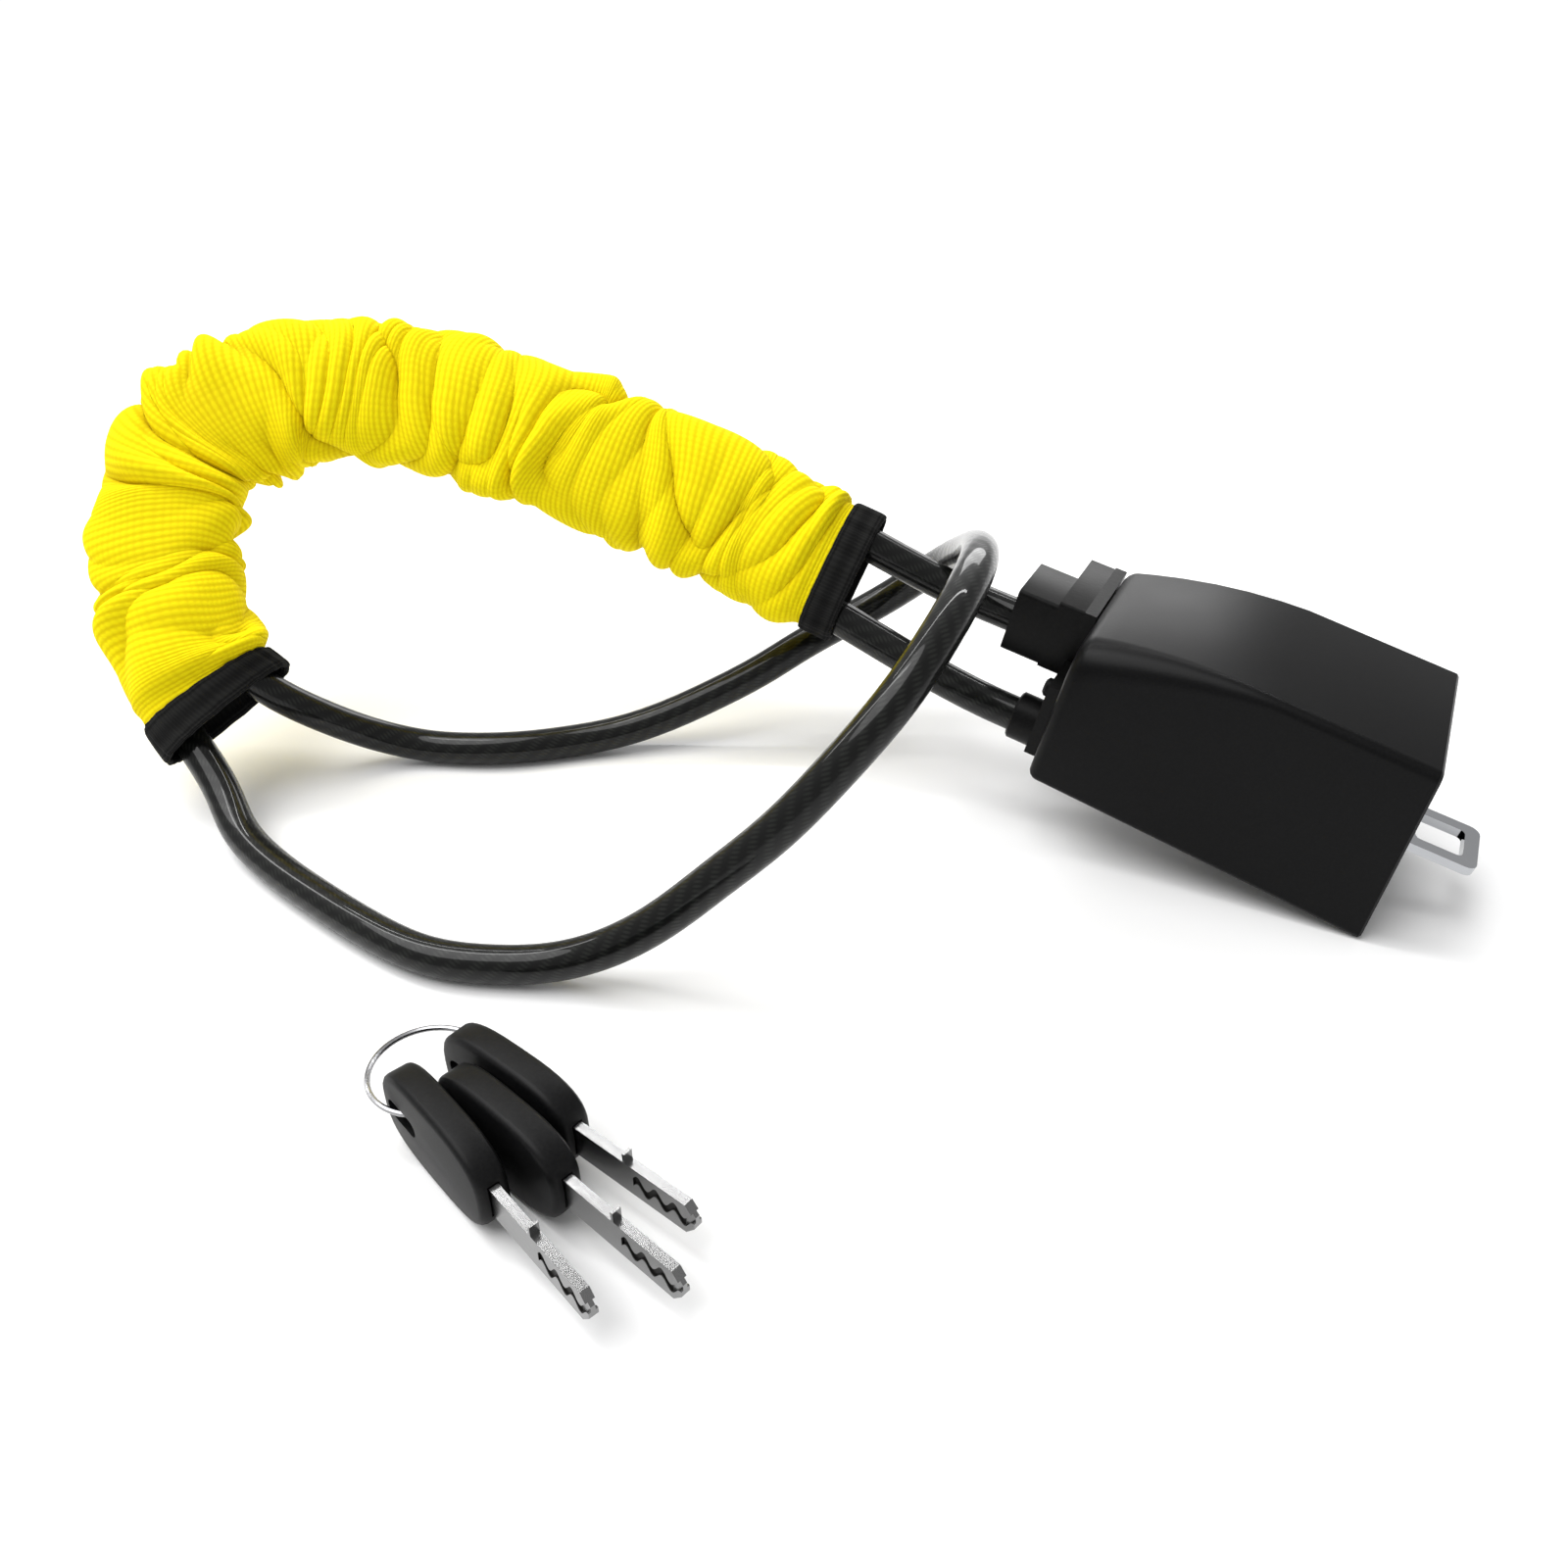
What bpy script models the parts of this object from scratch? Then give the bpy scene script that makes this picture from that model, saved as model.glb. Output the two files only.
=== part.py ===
"""Seat-belt tongue cable lock: a doubled steel cable, a sliding hood over a belt tongue, and three keys.

Everything is in metres with +Z up.  The lock body is drawn in its own frame (lock_frame), whose x axis
runs from the cable end towards the tongue, y across the hood and z through its top.  The origin of the
world is the middle of the footprint on the floor.
"""
import math

import bmesh
import bpy
import numpy as np
from mathutils import Matrix, Vector

for old in list(bpy.data.objects):
    bpy.data.objects.remove(old, do_unlink=True)

# ---------------------------------------------------------------- driving dimensions
GAP = 0.0003                      # clearance left between two fixed pieces that touch
SLIDE_CLEARANCE = 0.0004          # clearance round a sliding piece
TURN_CLEARANCE = 0.00015          # radial clearance round a turning piece

# where the lock body stands
LOCK_PLACE = (0.0965, 0.0530, 0.0425)
LOCK_PITCH = math.radians(12.0)   # nose down, so the hood rests on the lower edge of its mouth
LOCK_YAW = math.radians(-26.7)

# hood
HOOD_LENGTH = 0.0985
HOOD_WIDTH = 0.0590
HOOD_WALL = 0.0024
HOOD_END_WALL = 0.0030
HOOD_FLOOR_START = -0.0184        # underside height at the cable end, from the tongue's axis
HOOD_FLOOR_SLOPE = -0.0385        # the underside flares downwards along the hood
HOOD_ROOF_START = 0.0265
HOOD_ROOF_CREST = 0.0353
HOOD_ROOF_CREST_AT = 0.0520
HOOD_ROOF_MOUTH = 0.0340
ROOF_FILLET_START = 0.0110
ROOF_FILLET_MOUTH = 0.0030
FAR_FILLET_SHARE = 0.45           # the upper edge on the cylinder's side is rounded less than the near one
FLOOR_FILLET = 0.0022
MOUTH_RAKE = 0.083                # the mouth leans out towards its lower edge, length for height
END_ROUNDING = 0.0030
MOUTH_EDGE = 0.0007               # small chamfer round the mouth
HOOD_TRAVEL = 0.0280

# carriage that the hood slides on
NECK_WIDTH = 0.0380
CARRIAGE_TOP = 0.0065
CARRIAGE_BOTTOM = -0.0095
CARRIAGE_HEAD_LENGTH = 0.0237
HEAD_SIDE_CLEARANCE = 0.0006

# belt tongue
TONGUE_THICKNESS = 0.0026
TONGUE_SHANK_WIDTH = 0.0300
TONGUE_WIDTH = 0.0210
TONGUE_PAST_MOUTH = 0.0207
TONGUE_NARROW_LENGTH = 0.0260
TONGUE_TAPER = 0.0060
TONGUE_CORNER = 0.0030
WINDOW_LENGTH = 0.0130
WINDOW_WIDTH = 0.0130
WINDOW_LAND = 0.0040
TONGUE_BITE = 0.0180              # how deep the tongue sits in the carriage head
RIVET_SHANK = 0.0022
RIVET_HEAD = 0.0036
RIVET_HEAD_HEIGHT = 0.0014
RIVET_SPREAD = 0.0180

# cable and its anchorage
CABLE_DIAMETER = 0.0105
STRAND_UPPER = (0.0065, 0.0092)   # (y, z) where the upper strand enters the anchor
STRAND_LOWER = (-0.0130, -0.0103)
PLATE_THICKNESS = 0.0036
FLANGE_DEPTH = 0.0076
BLOCK_DEPTH = 0.0124
BOSS_DEPTH = 0.0075
BOSS_DIAMETER = 0.0145
FERRULE_LENGTH = 0.0050
SEAT_FLOOR = 0.0014
ANCHOR_SCREW_RADIUS = 0.0015
ANCHOR_SCREW_DEPTH = 0.0120

PLATE_NEAR_SIDE = -0.0210         # the end plate's stepped outline across the hood
PLATE_FAR_SIDE = 0.0300
PLATE_FOOT = -0.0160
PLATE_STEP_HEIGHT = 0.0080
PLATE_STEP_SIDE = -0.0040
PLATE_CORNER_CUT = 0.0080
BLOCK_BELOW_STRAND = 0.0072
FLANGE_ABOVE_STRAND = 0.0153
BLOCK_STEP = 0.0020
BLOCK_NEAR_SIDE = 0.0095          # the block's two sides, from the upper strand
BLOCK_FAR_SIDE = 0.0125
JOIN_OVERLAP = 0.0004
SKIN = 0.0001                     # keeps joined outlines from lying in one plane
CUT_PAST = 0.0040                 # how far cutters run past the faces they open
SCREW_PLACES = {"near": (-0.0135, 0.0030), "far": (0.0135, -0.0045)}
SCREW_HEAD_HEIGHT = 0.0018

# lock cylinder, cam and deadbolt
CYLINDER_X = 0.0200
CYLINDER_Z = 0.0152
PLUG_RADIUS = 0.0052
BARREL_RADIUS = 0.0069
BEZEL_RADIUS = 0.0086
BEZEL_HEIGHT = 0.0016
BARREL_INNER_END = 0.0072
NUT_RADIUS = 0.0083
NUT_LENGTH = 0.0040
PLUG_RECESS = 0.0006
PLUG_LIP = 0.0003                 # chamfer of the plug's face
KEYWAY_WIDTH = 0.0028
KEYWAY_HEIGHT = 1.69 * PLUG_RADIUS
KEYWAY_INSET = 0.0052             # solid length of the plug behind the keyway
WAFER_COUNT = 4
WAFER_THICKNESS = 0.0009
WAFER_WIDTH = 0.84 * PLUG_RADIUS
WAFER_HEIGHT = 1.80 * PLUG_RADIUS
WAFER_PITCH = 0.0035
WAFER_FIRST = 0.0030              # from the keyway's floor to the first wafer
CAM_RADIUS = 0.0060
CAM_THICKNESS = 0.0024
CAM_THROW = 0.0040
CAM_PIN_RADIUS = 0.0012
CAM_SCREW_RADIUS = 0.0011
CAM_SCREW_HEAD_RADIUS = CAM_THROW - CAM_PIN_RADIUS - 0.0004
CAM_SCREW_HEAD_HEIGHT = 0.0015
BOLT_THICKNESS = 0.0050
BOLT_STEM_WIDTH = 0.0060
BOLT_PLATE_WIDTH = 0.0140
BOLT_LIFT = 0.0006                # how far the drawn bolt clears the carriage
BOLT_STEM_LENGTH = 0.0073
BOLT_PLATE_HEIGHT = 0.0100
GUIDE_WALL = 0.0040
GUIDE_BACK = 0.0033
GUIDE_HEIGHT = 0.0150
GUIDE_LIFT = 0.0017               # height of the guide's foot above the carriage
GUIDE_ARM = (-0.0030, 0.0070)     # the arm to the hood's near wall, either side of the cylinder's axis

# sleeve over the two strands
STRAND_SPREAD = 0.0240            # distance between the two strands inside the sleeve
SLEEVE_WALL = 0.0012
HEM_TWIST = math.radians(-20.0)   # how far the far hem turns with the spreading strands
HEM_TWIST_START = 0.90
HEM_FLARE = 0.0026                # how much wider the far hem's mouth opens on each side
SLEEVE_ROOM = 0.0015              # room between the strands and the sleeve
SLEEVE_SWELL = 0.0030             # how far the sleeve stands off the strands' flat sides
HEM_WIDTH = 0.0075
HEM_EXTRA = 0.0006                # the hem's webbing is thicker than the sleeve by this

# keys
KEY_HEAD_LENGTH = 0.0420
KEY_HEAD_HEIGHT = 0.0240
KEY_HEAD_THICKNESS = 0.0076
KEY_HEAD_EDGE = 0.0016            # rounding of the head's rim
KEY_HEAD_ROUND = 3.0              # exponent of the head's rounded outline
KEY_HOLE_FROM_END = 0.0088
KEY_SLOT_LENGTH = 0.0118
KEY_SLOT_HEIGHT = 0.0050
BLADE_LENGTH = 0.0345
BLADE_TIP = 0.0024
BLADE_HEIGHT = KEYWAY_HEIGHT - 0.0004
BLADE_THICKNESS = 0.0023
BLADE_TANG = 0.0090
FIN_HEIGHT = 0.0026
FIN_WIDTH = 0.0007
GROOVE_WIDTH = 0.0024
GROOVE_DEPTH = 0.0006
GROOVE_WAVE = 0.0013
GROOVE_TURNS = 3.5
KEY_PLACES = {                    # key name: x and y of its ring end, heading in degrees
    "front": (-0.0777, -0.0796, -47.9),
    "middle": (-0.0657, -0.0801, -42.3),
    "back": (-0.0671, -0.0679, -38.9),
}
RING_CENTRE = (-0.0720, -0.0745)
RING_RADIUS = 0.0135
RING_WIRE = 0.0014
RING_HEIGHT = 0.0124

# Middle line of the sleeve, from the lock side over the arch to the far hem.
SLEEVE_ROUTE = [
    (0.0326, 0.0790, 0.0636), (0.0115, 0.0865, 0.0711), (-0.0135, 0.0960, 0.0806),
    (-0.0390, 0.1035, 0.0890), (-0.0660, 0.1120, 0.0975), (-0.0900, 0.1180, 0.1030),
    (-0.1150, 0.1235, 0.1065), (-0.1417, 0.1255, 0.1060), (-0.1633, 0.1224, 0.1010),
    (-0.1772, 0.1141, 0.0923), (-0.1822, 0.1009, 0.0782), (-0.1810, 0.0866, 0.0623),
    (-0.1752, 0.0724, 0.0466), (-0.1674, 0.0622, 0.0352), (-0.1600, 0.0576, 0.0284),
]
# Free run of the cable between the two mouths of the sleeve's far hem: along the floor, up in front of the
# two standing strands, over them, down behind and back along the floor.
CABLE_ROUTE = [
    (-0.1595, 0.0385, 0.0135), (-0.1525, 0.0280, 0.0080), (-0.1380, 0.0158, 0.0055),
    (-0.1180, -0.0046, 0.0055), (-0.0985, -0.0192, 0.0055), (-0.0820, -0.0280, 0.0055),
    (-0.0660, -0.0308, 0.0055), (-0.0510, -0.0318, 0.0070), (-0.0355, -0.0330, 0.0130),
    (-0.0202, -0.0340, 0.0238), (-0.0065, -0.0340, 0.0364), (0.0077, -0.0332, 0.0497),
    (0.0220, -0.0296, 0.0648), (0.0366, -0.0215, 0.0800), (0.0480, -0.0060, 0.0895),
    (0.0574, 0.0160, 0.0932), (0.0638, 0.0478, 0.0869), (0.0649, 0.0822, 0.0714),
    (0.0588, 0.1038, 0.0562), (0.0454, 0.1090, 0.0436), (0.0288, 0.1040, 0.0358),
    (0.0158, 0.0970, 0.0314), (0.0029, 0.0922, 0.0250), (-0.0125, 0.0882, 0.0180),
    (-0.0290, 0.0852, 0.0112), (-0.0455, 0.0820, 0.0068), (-0.0607, 0.0785, 0.0055),
    (-0.0761, 0.0750, 0.0055), (-0.0919, 0.0741, 0.0055), (-0.1075, 0.0752, 0.0060),
    (-0.1230, 0.0738, 0.0112), (-0.1372, 0.0690, 0.0215),
]
ARCH_LEAN = Vector((0.0, 0.829, -0.559))   # the arch's two strands lie side by side across this direction
CABLE_POINTS = 80
CABLE_TURN_SHARE = 0.030          # how strongly the cable's points gather in its bends

# ---------------------------------------------------------------- materials
MATERIALS = {
    "hood_plastic": ((0.012, 0.012, 0.013), 0.48, 0.0),
    "black_casting": ((0.010, 0.010, 0.010), 0.45, 0.0),
    "chrome": ((0.62, 0.63, 0.65), 0.12, 1.0),
    "steel": ((0.45, 0.45, 0.46), 0.30, 1.0),
    "brass": ((0.60, 0.45, 0.20), 0.32, 1.0),
    "cable_jacket": ((0.008, 0.009, 0.008), 0.12, 0.0),
    "yellow_fabric": ((0.85, 0.76, 0.01), 0.85, 0.0),
    "black_webbing": ((0.010, 0.010, 0.010), 0.85, 0.0),
    "key_plastic": ((0.014, 0.014, 0.015), 0.50, 0.0),
}


def material(slot):
    """The Principled material of one finish, made once."""
    found = bpy.data.materials.get(slot)
    if found:
        return found
    colour, roughness, metallic = MATERIALS[slot]
    made = bpy.data.materials.new(slot)
    made.use_nodes = True
    shader = made.node_tree.nodes["Principled BSDF"]
    shader.inputs["Base Color"].default_value = (*colour, 1.0)
    shader.inputs["Roughness"].default_value = roughness
    shader.inputs["Metallic"].default_value = metallic
    return made


# ---------------------------------------------------------------- mesh tools
def empty(name, place, turn=(0.0, 0.0, 0.0), parent=None):
    """An empty that carries pieces."""
    made = bpy.data.objects.new(name, None)
    made.location = place
    made.rotation_euler = turn
    made.parent = parent
    bpy.context.scene.collection.objects.link(made)
    return made


def solid_mesh(name, points, faces):
    """A closed mesh with its faces turned outwards."""
    mesh = bpy.data.meshes.new(name)
    mesh.from_pydata([tuple(map(float, p)) for p in points], [], faces)
    work = bmesh.new()
    work.from_mesh(mesh)
    bmesh.ops.recalc_face_normals(work, faces=work.faces)
    work.to_mesh(mesh)
    work.free()
    return mesh


def prism(name, outline, low, high, axis):
    """An outline extruded along an axis; its points are the other two coordinates in x, y, z order."""
    order = {"x": (2, 0, 1), "y": (0, 2, 1), "z": (0, 1, 2)}[axis]
    points = []
    for level in (low, high):
        for first, second in outline:
            flat = (first, second, level)
            points.append(tuple(flat[k] for k in order))
    count = len(outline)
    faces = [list(range(count))[::-1], list(range(count, 2 * count))]
    for k in range(count):
        following = (k + 1) % count
        faces.append([k, following, count + following, count + k])
    return solid_mesh(name, points, faces)


def rectangle(low, high):
    """Corners of a rectangle from its lowest to its highest corner."""
    return [(low[0], low[1]), (high[0], low[1]), (high[0], high[1]), (low[0], high[1])]


def rounded(outline, radius, steps=4):
    """The outline with each corner turned into an arc of the radius."""
    result = []
    count = len(outline)
    for k in range(count):
        corner = Vector(outline[k])
        back = (Vector(outline[k - 1]) - corner).normalized()
        ahead = (Vector(outline[(k + 1) % count]) - corner).normalized()
        half = 0.5 * back.angle(ahead)
        middle = corner + (back + ahead).normalized() * (radius / math.sin(half))
        start = corner + back * (radius / math.tan(half)) - middle
        sweep = start.angle_signed(corner + ahead * (radius / math.tan(half)) - middle)
        for step in range(steps + 1):
            turn = -sweep * step / steps
            cosine, sine = math.cos(turn), math.sin(turn)
            point = middle + Vector((cosine * start.x - sine * start.y, sine * start.x + cosine * start.y))
            result.append((point.x, point.y))
    return result


def lathe(name, profile, axis, steps=32, centre=(0.0, 0.0)):
    """A closed profile of (radius, position) turned about an axis through the centre."""
    closed = all(radius > 0.0 for radius, _ in profile)
    order = {"x": (2, 0, 1), "y": (0, 2, 1), "z": (0, 1, 2)}[axis]
    points, rings = [], []
    for radius, level in profile:
        ring = []
        for step in range(steps if radius > 0.0 else 1):
            angle = 2.0 * math.pi * step / steps
            flat = (centre[0] + radius * math.cos(angle), centre[1] + radius * math.sin(angle), level)
            ring.append(len(points))
            points.append(tuple(flat[k] for k in order))
        rings.append(ring if len(ring) > 1 else ring * steps)
    faces = []
    last = len(rings) if closed else len(rings) - 1
    for k in range(last):
        one, other = rings[k], rings[(k + 1) % len(rings)]
        for step in range(steps):
            following = (step + 1) % steps
            corners = [one[step], one[following], other[following], other[step]]
            faces.append(list(dict.fromkeys(corners)))
    return solid_mesh(name, points, faces)


def loft(name, rings, closed=False):
    """Rings of equal point counts joined in turn; capped at both ends, or closed into a loop."""
    rings = [list(ring) for ring in rings]
    count = len(rings[0])
    points = [point for ring in rings for point in ring]
    faces = []
    for k in range(len(rings) if closed else len(rings) - 1):
        here, there = k * count, ((k + 1) % len(rings)) * count
        for step in range(count):
            following = (step + 1) % count
            faces.append([here + step, here + following, there + following, there + step])
    if not closed:
        faces.append(list(range(count)))
        faces.append(list(range((len(rings) - 1) * count, len(rings) * count)))
    return solid_mesh(name, points, faces)


def place(name, mesh, slot, parent, at=(0.0, 0.0, 0.0)):
    """A named piece whose mesh is drawn in its parent's frame and whose origin is moved to a point."""
    mesh.transform(Matrix.Translation(-Vector(at)))
    made = bpy.data.objects.new(name, mesh)
    made.location = at
    made.parent = parent
    mesh.materials.append(material(slot))
    bpy.context.scene.collection.objects.link(made)
    return made


def combine(piece, mesh, operation):
    """Cut a tool mesh out of the piece, or join it to the piece; the tool stays as a wire guide."""
    tool = bpy.data.objects.new(piece.name + "_tool", mesh)
    tool.parent = piece.parent
    tool.hide_render = True
    tool.display_type = "WIRE"
    bpy.context.scene.collection.objects.link(tool)
    made = piece.modifiers.new(operation.title(), "BOOLEAN")
    made.operation = operation
    made.solver = "EXACT"
    made.object = tool


def cut(piece, mesh):
    combine(piece, mesh, "DIFFERENCE")


def join(piece, mesh):
    combine(piece, mesh, "UNION")


def smooth(piece, angle=35.0):
    """Shade a round piece smooth, with its edges kept sharp."""
    piece.data.shade_smooth()
    piece.data.set_sharp_from_angle(angle=math.radians(angle))


def smooth_curve(points, count, turn_share=0.0):
    """Points on the natural cubic spline through the given points, closer together where it bends."""
    knots = np.array([tuple(p) for p in points], float)
    size = len(knots)
    step = np.linalg.norm(np.diff(knots, axis=0), axis=1)
    travel = np.concatenate([[0.0], np.cumsum(step)])
    system = np.zeros((size, size))
    rest = np.zeros((size, 3))
    system[0, 0] = system[-1, -1] = 1.0
    for k in range(1, size - 1):
        system[k, k - 1] = step[k - 1]
        system[k, k] = 2.0 * (step[k - 1] + step[k])
        system[k, k + 1] = step[k]
        rest[k] = 6.0 * ((knots[k + 1] - knots[k]) / step[k] - (knots[k] - knots[k - 1]) / step[k - 1])
    bend = np.linalg.solve(system, rest)

    def at(where):
        k = np.clip(np.searchsorted(travel, where, side="right") - 1, 0, size - 2)
        width = step[k][:, None]
        before = (travel[k + 1] - where)[:, None]
        after = (where - travel[k])[:, None]
        cubic = (bend[k] * before ** 3 + bend[k + 1] * after ** 3) / (6.0 * width)
        return (cubic + (knots[k] / width - bend[k] * width / 6.0) * before
                + (knots[k + 1] / width - bend[k + 1] * width / 6.0) * after)

    fine = at(np.linspace(0.0, travel[-1], 40 * size))
    run = np.diff(fine, axis=0)
    length = np.linalg.norm(run, axis=1)
    run /= length[:, None]
    turn = np.zeros(len(length))
    turn[1:] = np.arccos(np.clip((run[1:] * run[:-1]).sum(axis=1), -1.0, 1.0))
    measure = np.concatenate([[0.0], np.cumsum(length + turn_share * turn)])
    even = np.linspace(0.0, measure[-1], count)
    return np.column_stack([np.interp(even, measure, fine[:, k]) for k in range(3)])


def across(points):
    """Unit directions across the arch at each point of a curve, outwards over its top."""
    run = np.gradient(points, axis=0)
    run /= np.linalg.norm(run, axis=1)[:, None]
    side = np.cross(run, np.array(ARCH_LEAN))
    return run, side / np.linalg.norm(side, axis=1)[:, None]


# ---------------------------------------------------------------- frames
lock_frame = empty("lock_frame", LOCK_PLACE, (0.0, LOCK_PITCH, LOCK_YAW))
hood_frame = empty("hood_slide_axis", (0.0, 0.0, 0.0), parent=lock_frame)
bpy.context.view_layer.update()
LOCK_MATRIX = lock_frame.matrix_world.copy()


# ---------------------------------------------------------------- hood
def roof_height(x):
    """Height of the hood's top: a parabola up to the crest, then a straight fall to the mouth."""
    if x < HOOD_ROOF_CREST_AT:
        left = 1.0 - x / HOOD_ROOF_CREST_AT
        return HOOD_ROOF_CREST - (HOOD_ROOF_CREST - HOOD_ROOF_START) * left * left
    along = (x - HOOD_ROOF_CREST_AT) / (HOOD_LENGTH - HOOD_ROOF_CREST_AT)
    return HOOD_ROOF_CREST + (HOOD_ROOF_MOUTH - HOOD_ROOF_CREST) * along


def floor_height(x):
    """Height of the hood's underside."""
    return HOOD_FLOOR_START + HOOD_FLOOR_SLOPE * x


def roof_fillet(x):
    """Radius of the hood's upper long edges, which sharpen towards the mouth."""
    share = min(1.0, x / HOOD_ROOF_CREST_AT)
    return ROOF_FILLET_START + (ROOF_FILLET_MOUTH - ROOF_FILLET_START) * share


def hood_section(x, inset, rake=0.0):
    """The hood's cross-section at x, pulled in by the inset and leaning back with height by the rake."""
    half = 0.5 * HOOD_WIDTH - inset
    top, bottom = roof_height(x) - inset, floor_height(x) + inset
    least = 2.0 * GAP
    near = max(roof_fillet(x) - inset, least)
    far = max(FAR_FILLET_SHARE * roof_fillet(x) - inset, least)
    base = max(FLOOR_FILLET - inset, least)
    ring = section_ring(x, half, bottom, top, (far, near, base, base))
    return [(px - rake * pz, py, pz) for px, py, pz in ring]


def section_ring(x, half, bottom, top, radii, steps=7):
    """A rounded rectangle across the lock's x axis, with its four radii from the far upper corner round."""
    ring = []
    corners = [(half, top, 0.0), (-half, top, 90.0), (-half, bottom, 180.0), (half, bottom, 270.0)]
    for (edge, height, first), radius in zip(corners, radii):
        middle = (edge - math.copysign(radius, edge), height + (-radius if height == top else radius))
        for step in range(steps + 1):
            angle = math.radians(first + 90.0 * step / steps)
            ring.append((x, middle[0] + radius * math.cos(angle), middle[1] + radius * math.sin(angle)))
    return ring


neck_half = 0.5 * NECK_WIDTH
window_half = neck_half + SLIDE_CLEARANCE
window_low = CARRIAGE_BOTTOM - SLIDE_CLEARANCE
window_high = CARRIAGE_TOP + SLIDE_CLEARANCE
window_corner = 2.0 * GAP
rounding = [END_ROUNDING * (1.0 - math.cos(math.radians(a))) for a in (20.0, 45.0, 70.0, 90.0)]
insets = [END_ROUNDING * (1.0 - math.sin(math.radians(a))) for a in (20.0, 45.0, 70.0, 90.0)]
stations = [HOOD_ROOF_CREST_AT * share for share in (0.15, 0.30, 0.48, 0.66, 0.84, 1.0)]
window = (window_half, window_low, window_high, (window_corner,) * 4)
rings = [section_ring(0.0, *window)]
rings.append(hood_section(0.0, END_ROUNDING))
rings += [hood_section(x, inset) for x, inset in zip(rounding, insets)]
rings += [hood_section(x, 0.0) for x in stations]
rings += [hood_section(HOOD_LENGTH - MOUTH_EDGE, 0.0, MOUTH_RAKE)]
rings += [hood_section(HOOD_LENGTH, MOUTH_EDGE, MOUTH_RAKE)]
rings += [hood_section(HOOD_LENGTH, HOOD_WALL, MOUTH_RAKE)]
rings += [hood_section(x, HOOD_WALL) for x in stations[::-1]]
rings += [hood_section(HOOD_END_WALL, HOOD_WALL)]
rings += [section_ring(HOOD_END_WALL, *window)]
hood = place("hood_shell", loft("hood_shell", rings, closed=True), "hood_plastic", hood_frame)
smooth(hood, 30.0)
side_wall = 0.5 * HOOD_WIDTH
cylinder_centre = (CYLINDER_X, CYLINDER_Z)
hood_bore = BARREL_RADIUS + GAP
cut(hood, lathe("hood_bore", [(0.0, side_wall - 2.0 * HOOD_WALL), (hood_bore, side_wall - 2.0 * HOOD_WALL),
                              (hood_bore, side_wall + HOOD_WALL), (0.0, side_wall + HOOD_WALL)],
                "y", 32, cylinder_centre))

# ---------------------------------------------------------------- carriage and tongue
head_start = HOOD_END_WALL + HOOD_TRAVEL + GAP
head_end = head_start + CARRIAGE_HEAD_LENGTH
head_half = 0.5 * HOOD_WIDTH - HOOD_WALL - HEAD_SIDE_CLEARANCE
neck_start = -GAP / 3.0
carriage_outline = [(neck_start, -neck_half), (head_start, -neck_half), (head_start, -head_half),
                    (head_end, -head_half), (head_end, head_half), (head_start, head_half),
                    (head_start, neck_half), (neck_start, neck_half)]
carriage = place("carriage", prism("carriage", carriage_outline, CARRIAGE_BOTTOM, CARRIAGE_TOP, "z"),
                 "black_casting", lock_frame)
tongue_start = head_end - TONGUE_BITE
tongue_half = 0.5 * TONGUE_THICKNESS
slot_half = tongue_half + GAP
cut(carriage, prism("tongue_slot", rectangle((tongue_start - GAP, -0.5 * TONGUE_SHANK_WIDTH - GAP),
                                             (head_end + 0.002, 0.5 * TONGUE_SHANK_WIDTH + GAP)),
                    -slot_half, slot_half, "z"))

bolt_back = -0.7 * BOLT_THICKNESS
bolt_front = bolt_back + BOLT_THICKNESS
notch_floor = CARRIAGE_TOP + BOLT_LIFT - CAM_THROW - GAP
for notch_x in (CYLINDER_X, CYLINDER_X + HOOD_TRAVEL):
    notch_half = 0.5 * BOLT_STEM_WIDTH + SLIDE_CLEARANCE
    cut(carriage, prism("notch", rectangle((notch_x - notch_half, bolt_back - 2.0 * GAP),
                                           (notch_x + notch_half, bolt_front + 2.0 * GAP)),
                        notch_floor, CARRIAGE_TOP + 0.002, "z"))

tongue_tip = HOOD_LENGTH + TONGUE_PAST_MOUTH
narrow_start = tongue_tip - TONGUE_NARROW_LENGTH
wide, narrow = 0.5 * TONGUE_SHANK_WIDTH, 0.5 * TONGUE_WIDTH
tip_arc = []
for step in range(6):
    angle = math.radians(-90.0 + 90.0 * step / 5)
    tip_arc.append((tongue_tip - TONGUE_CORNER + TONGUE_CORNER * math.cos(angle),
                    -narrow + TONGUE_CORNER + TONGUE_CORNER * math.sin(angle)))
tongue_outline = [(tongue_start, -wide), (narrow_start - TONGUE_TAPER, -wide), (narrow_start, -narrow)]
tongue_outline += tip_arc + [(x, -y) for x, y in reversed(tip_arc)]
tongue_outline += [(narrow_start, narrow), (narrow_start - TONGUE_TAPER, wide), (tongue_start, wide)]
tongue = place("belt_tongue", prism("belt_tongue", tongue_outline, -tongue_half, tongue_half, "z"),
               "chrome", lock_frame)
window_end = tongue_tip - WINDOW_LAND
window_outline = rounded(rectangle((window_end - WINDOW_LENGTH, -0.5 * WINDOW_WIDTH),
                                   (window_end, 0.5 * WINDOW_WIDTH)), 0.0015, 3)
cut(tongue, prism("tongue_window", window_outline, -TONGUE_THICKNESS, TONGUE_THICKNESS, "z"))

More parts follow.
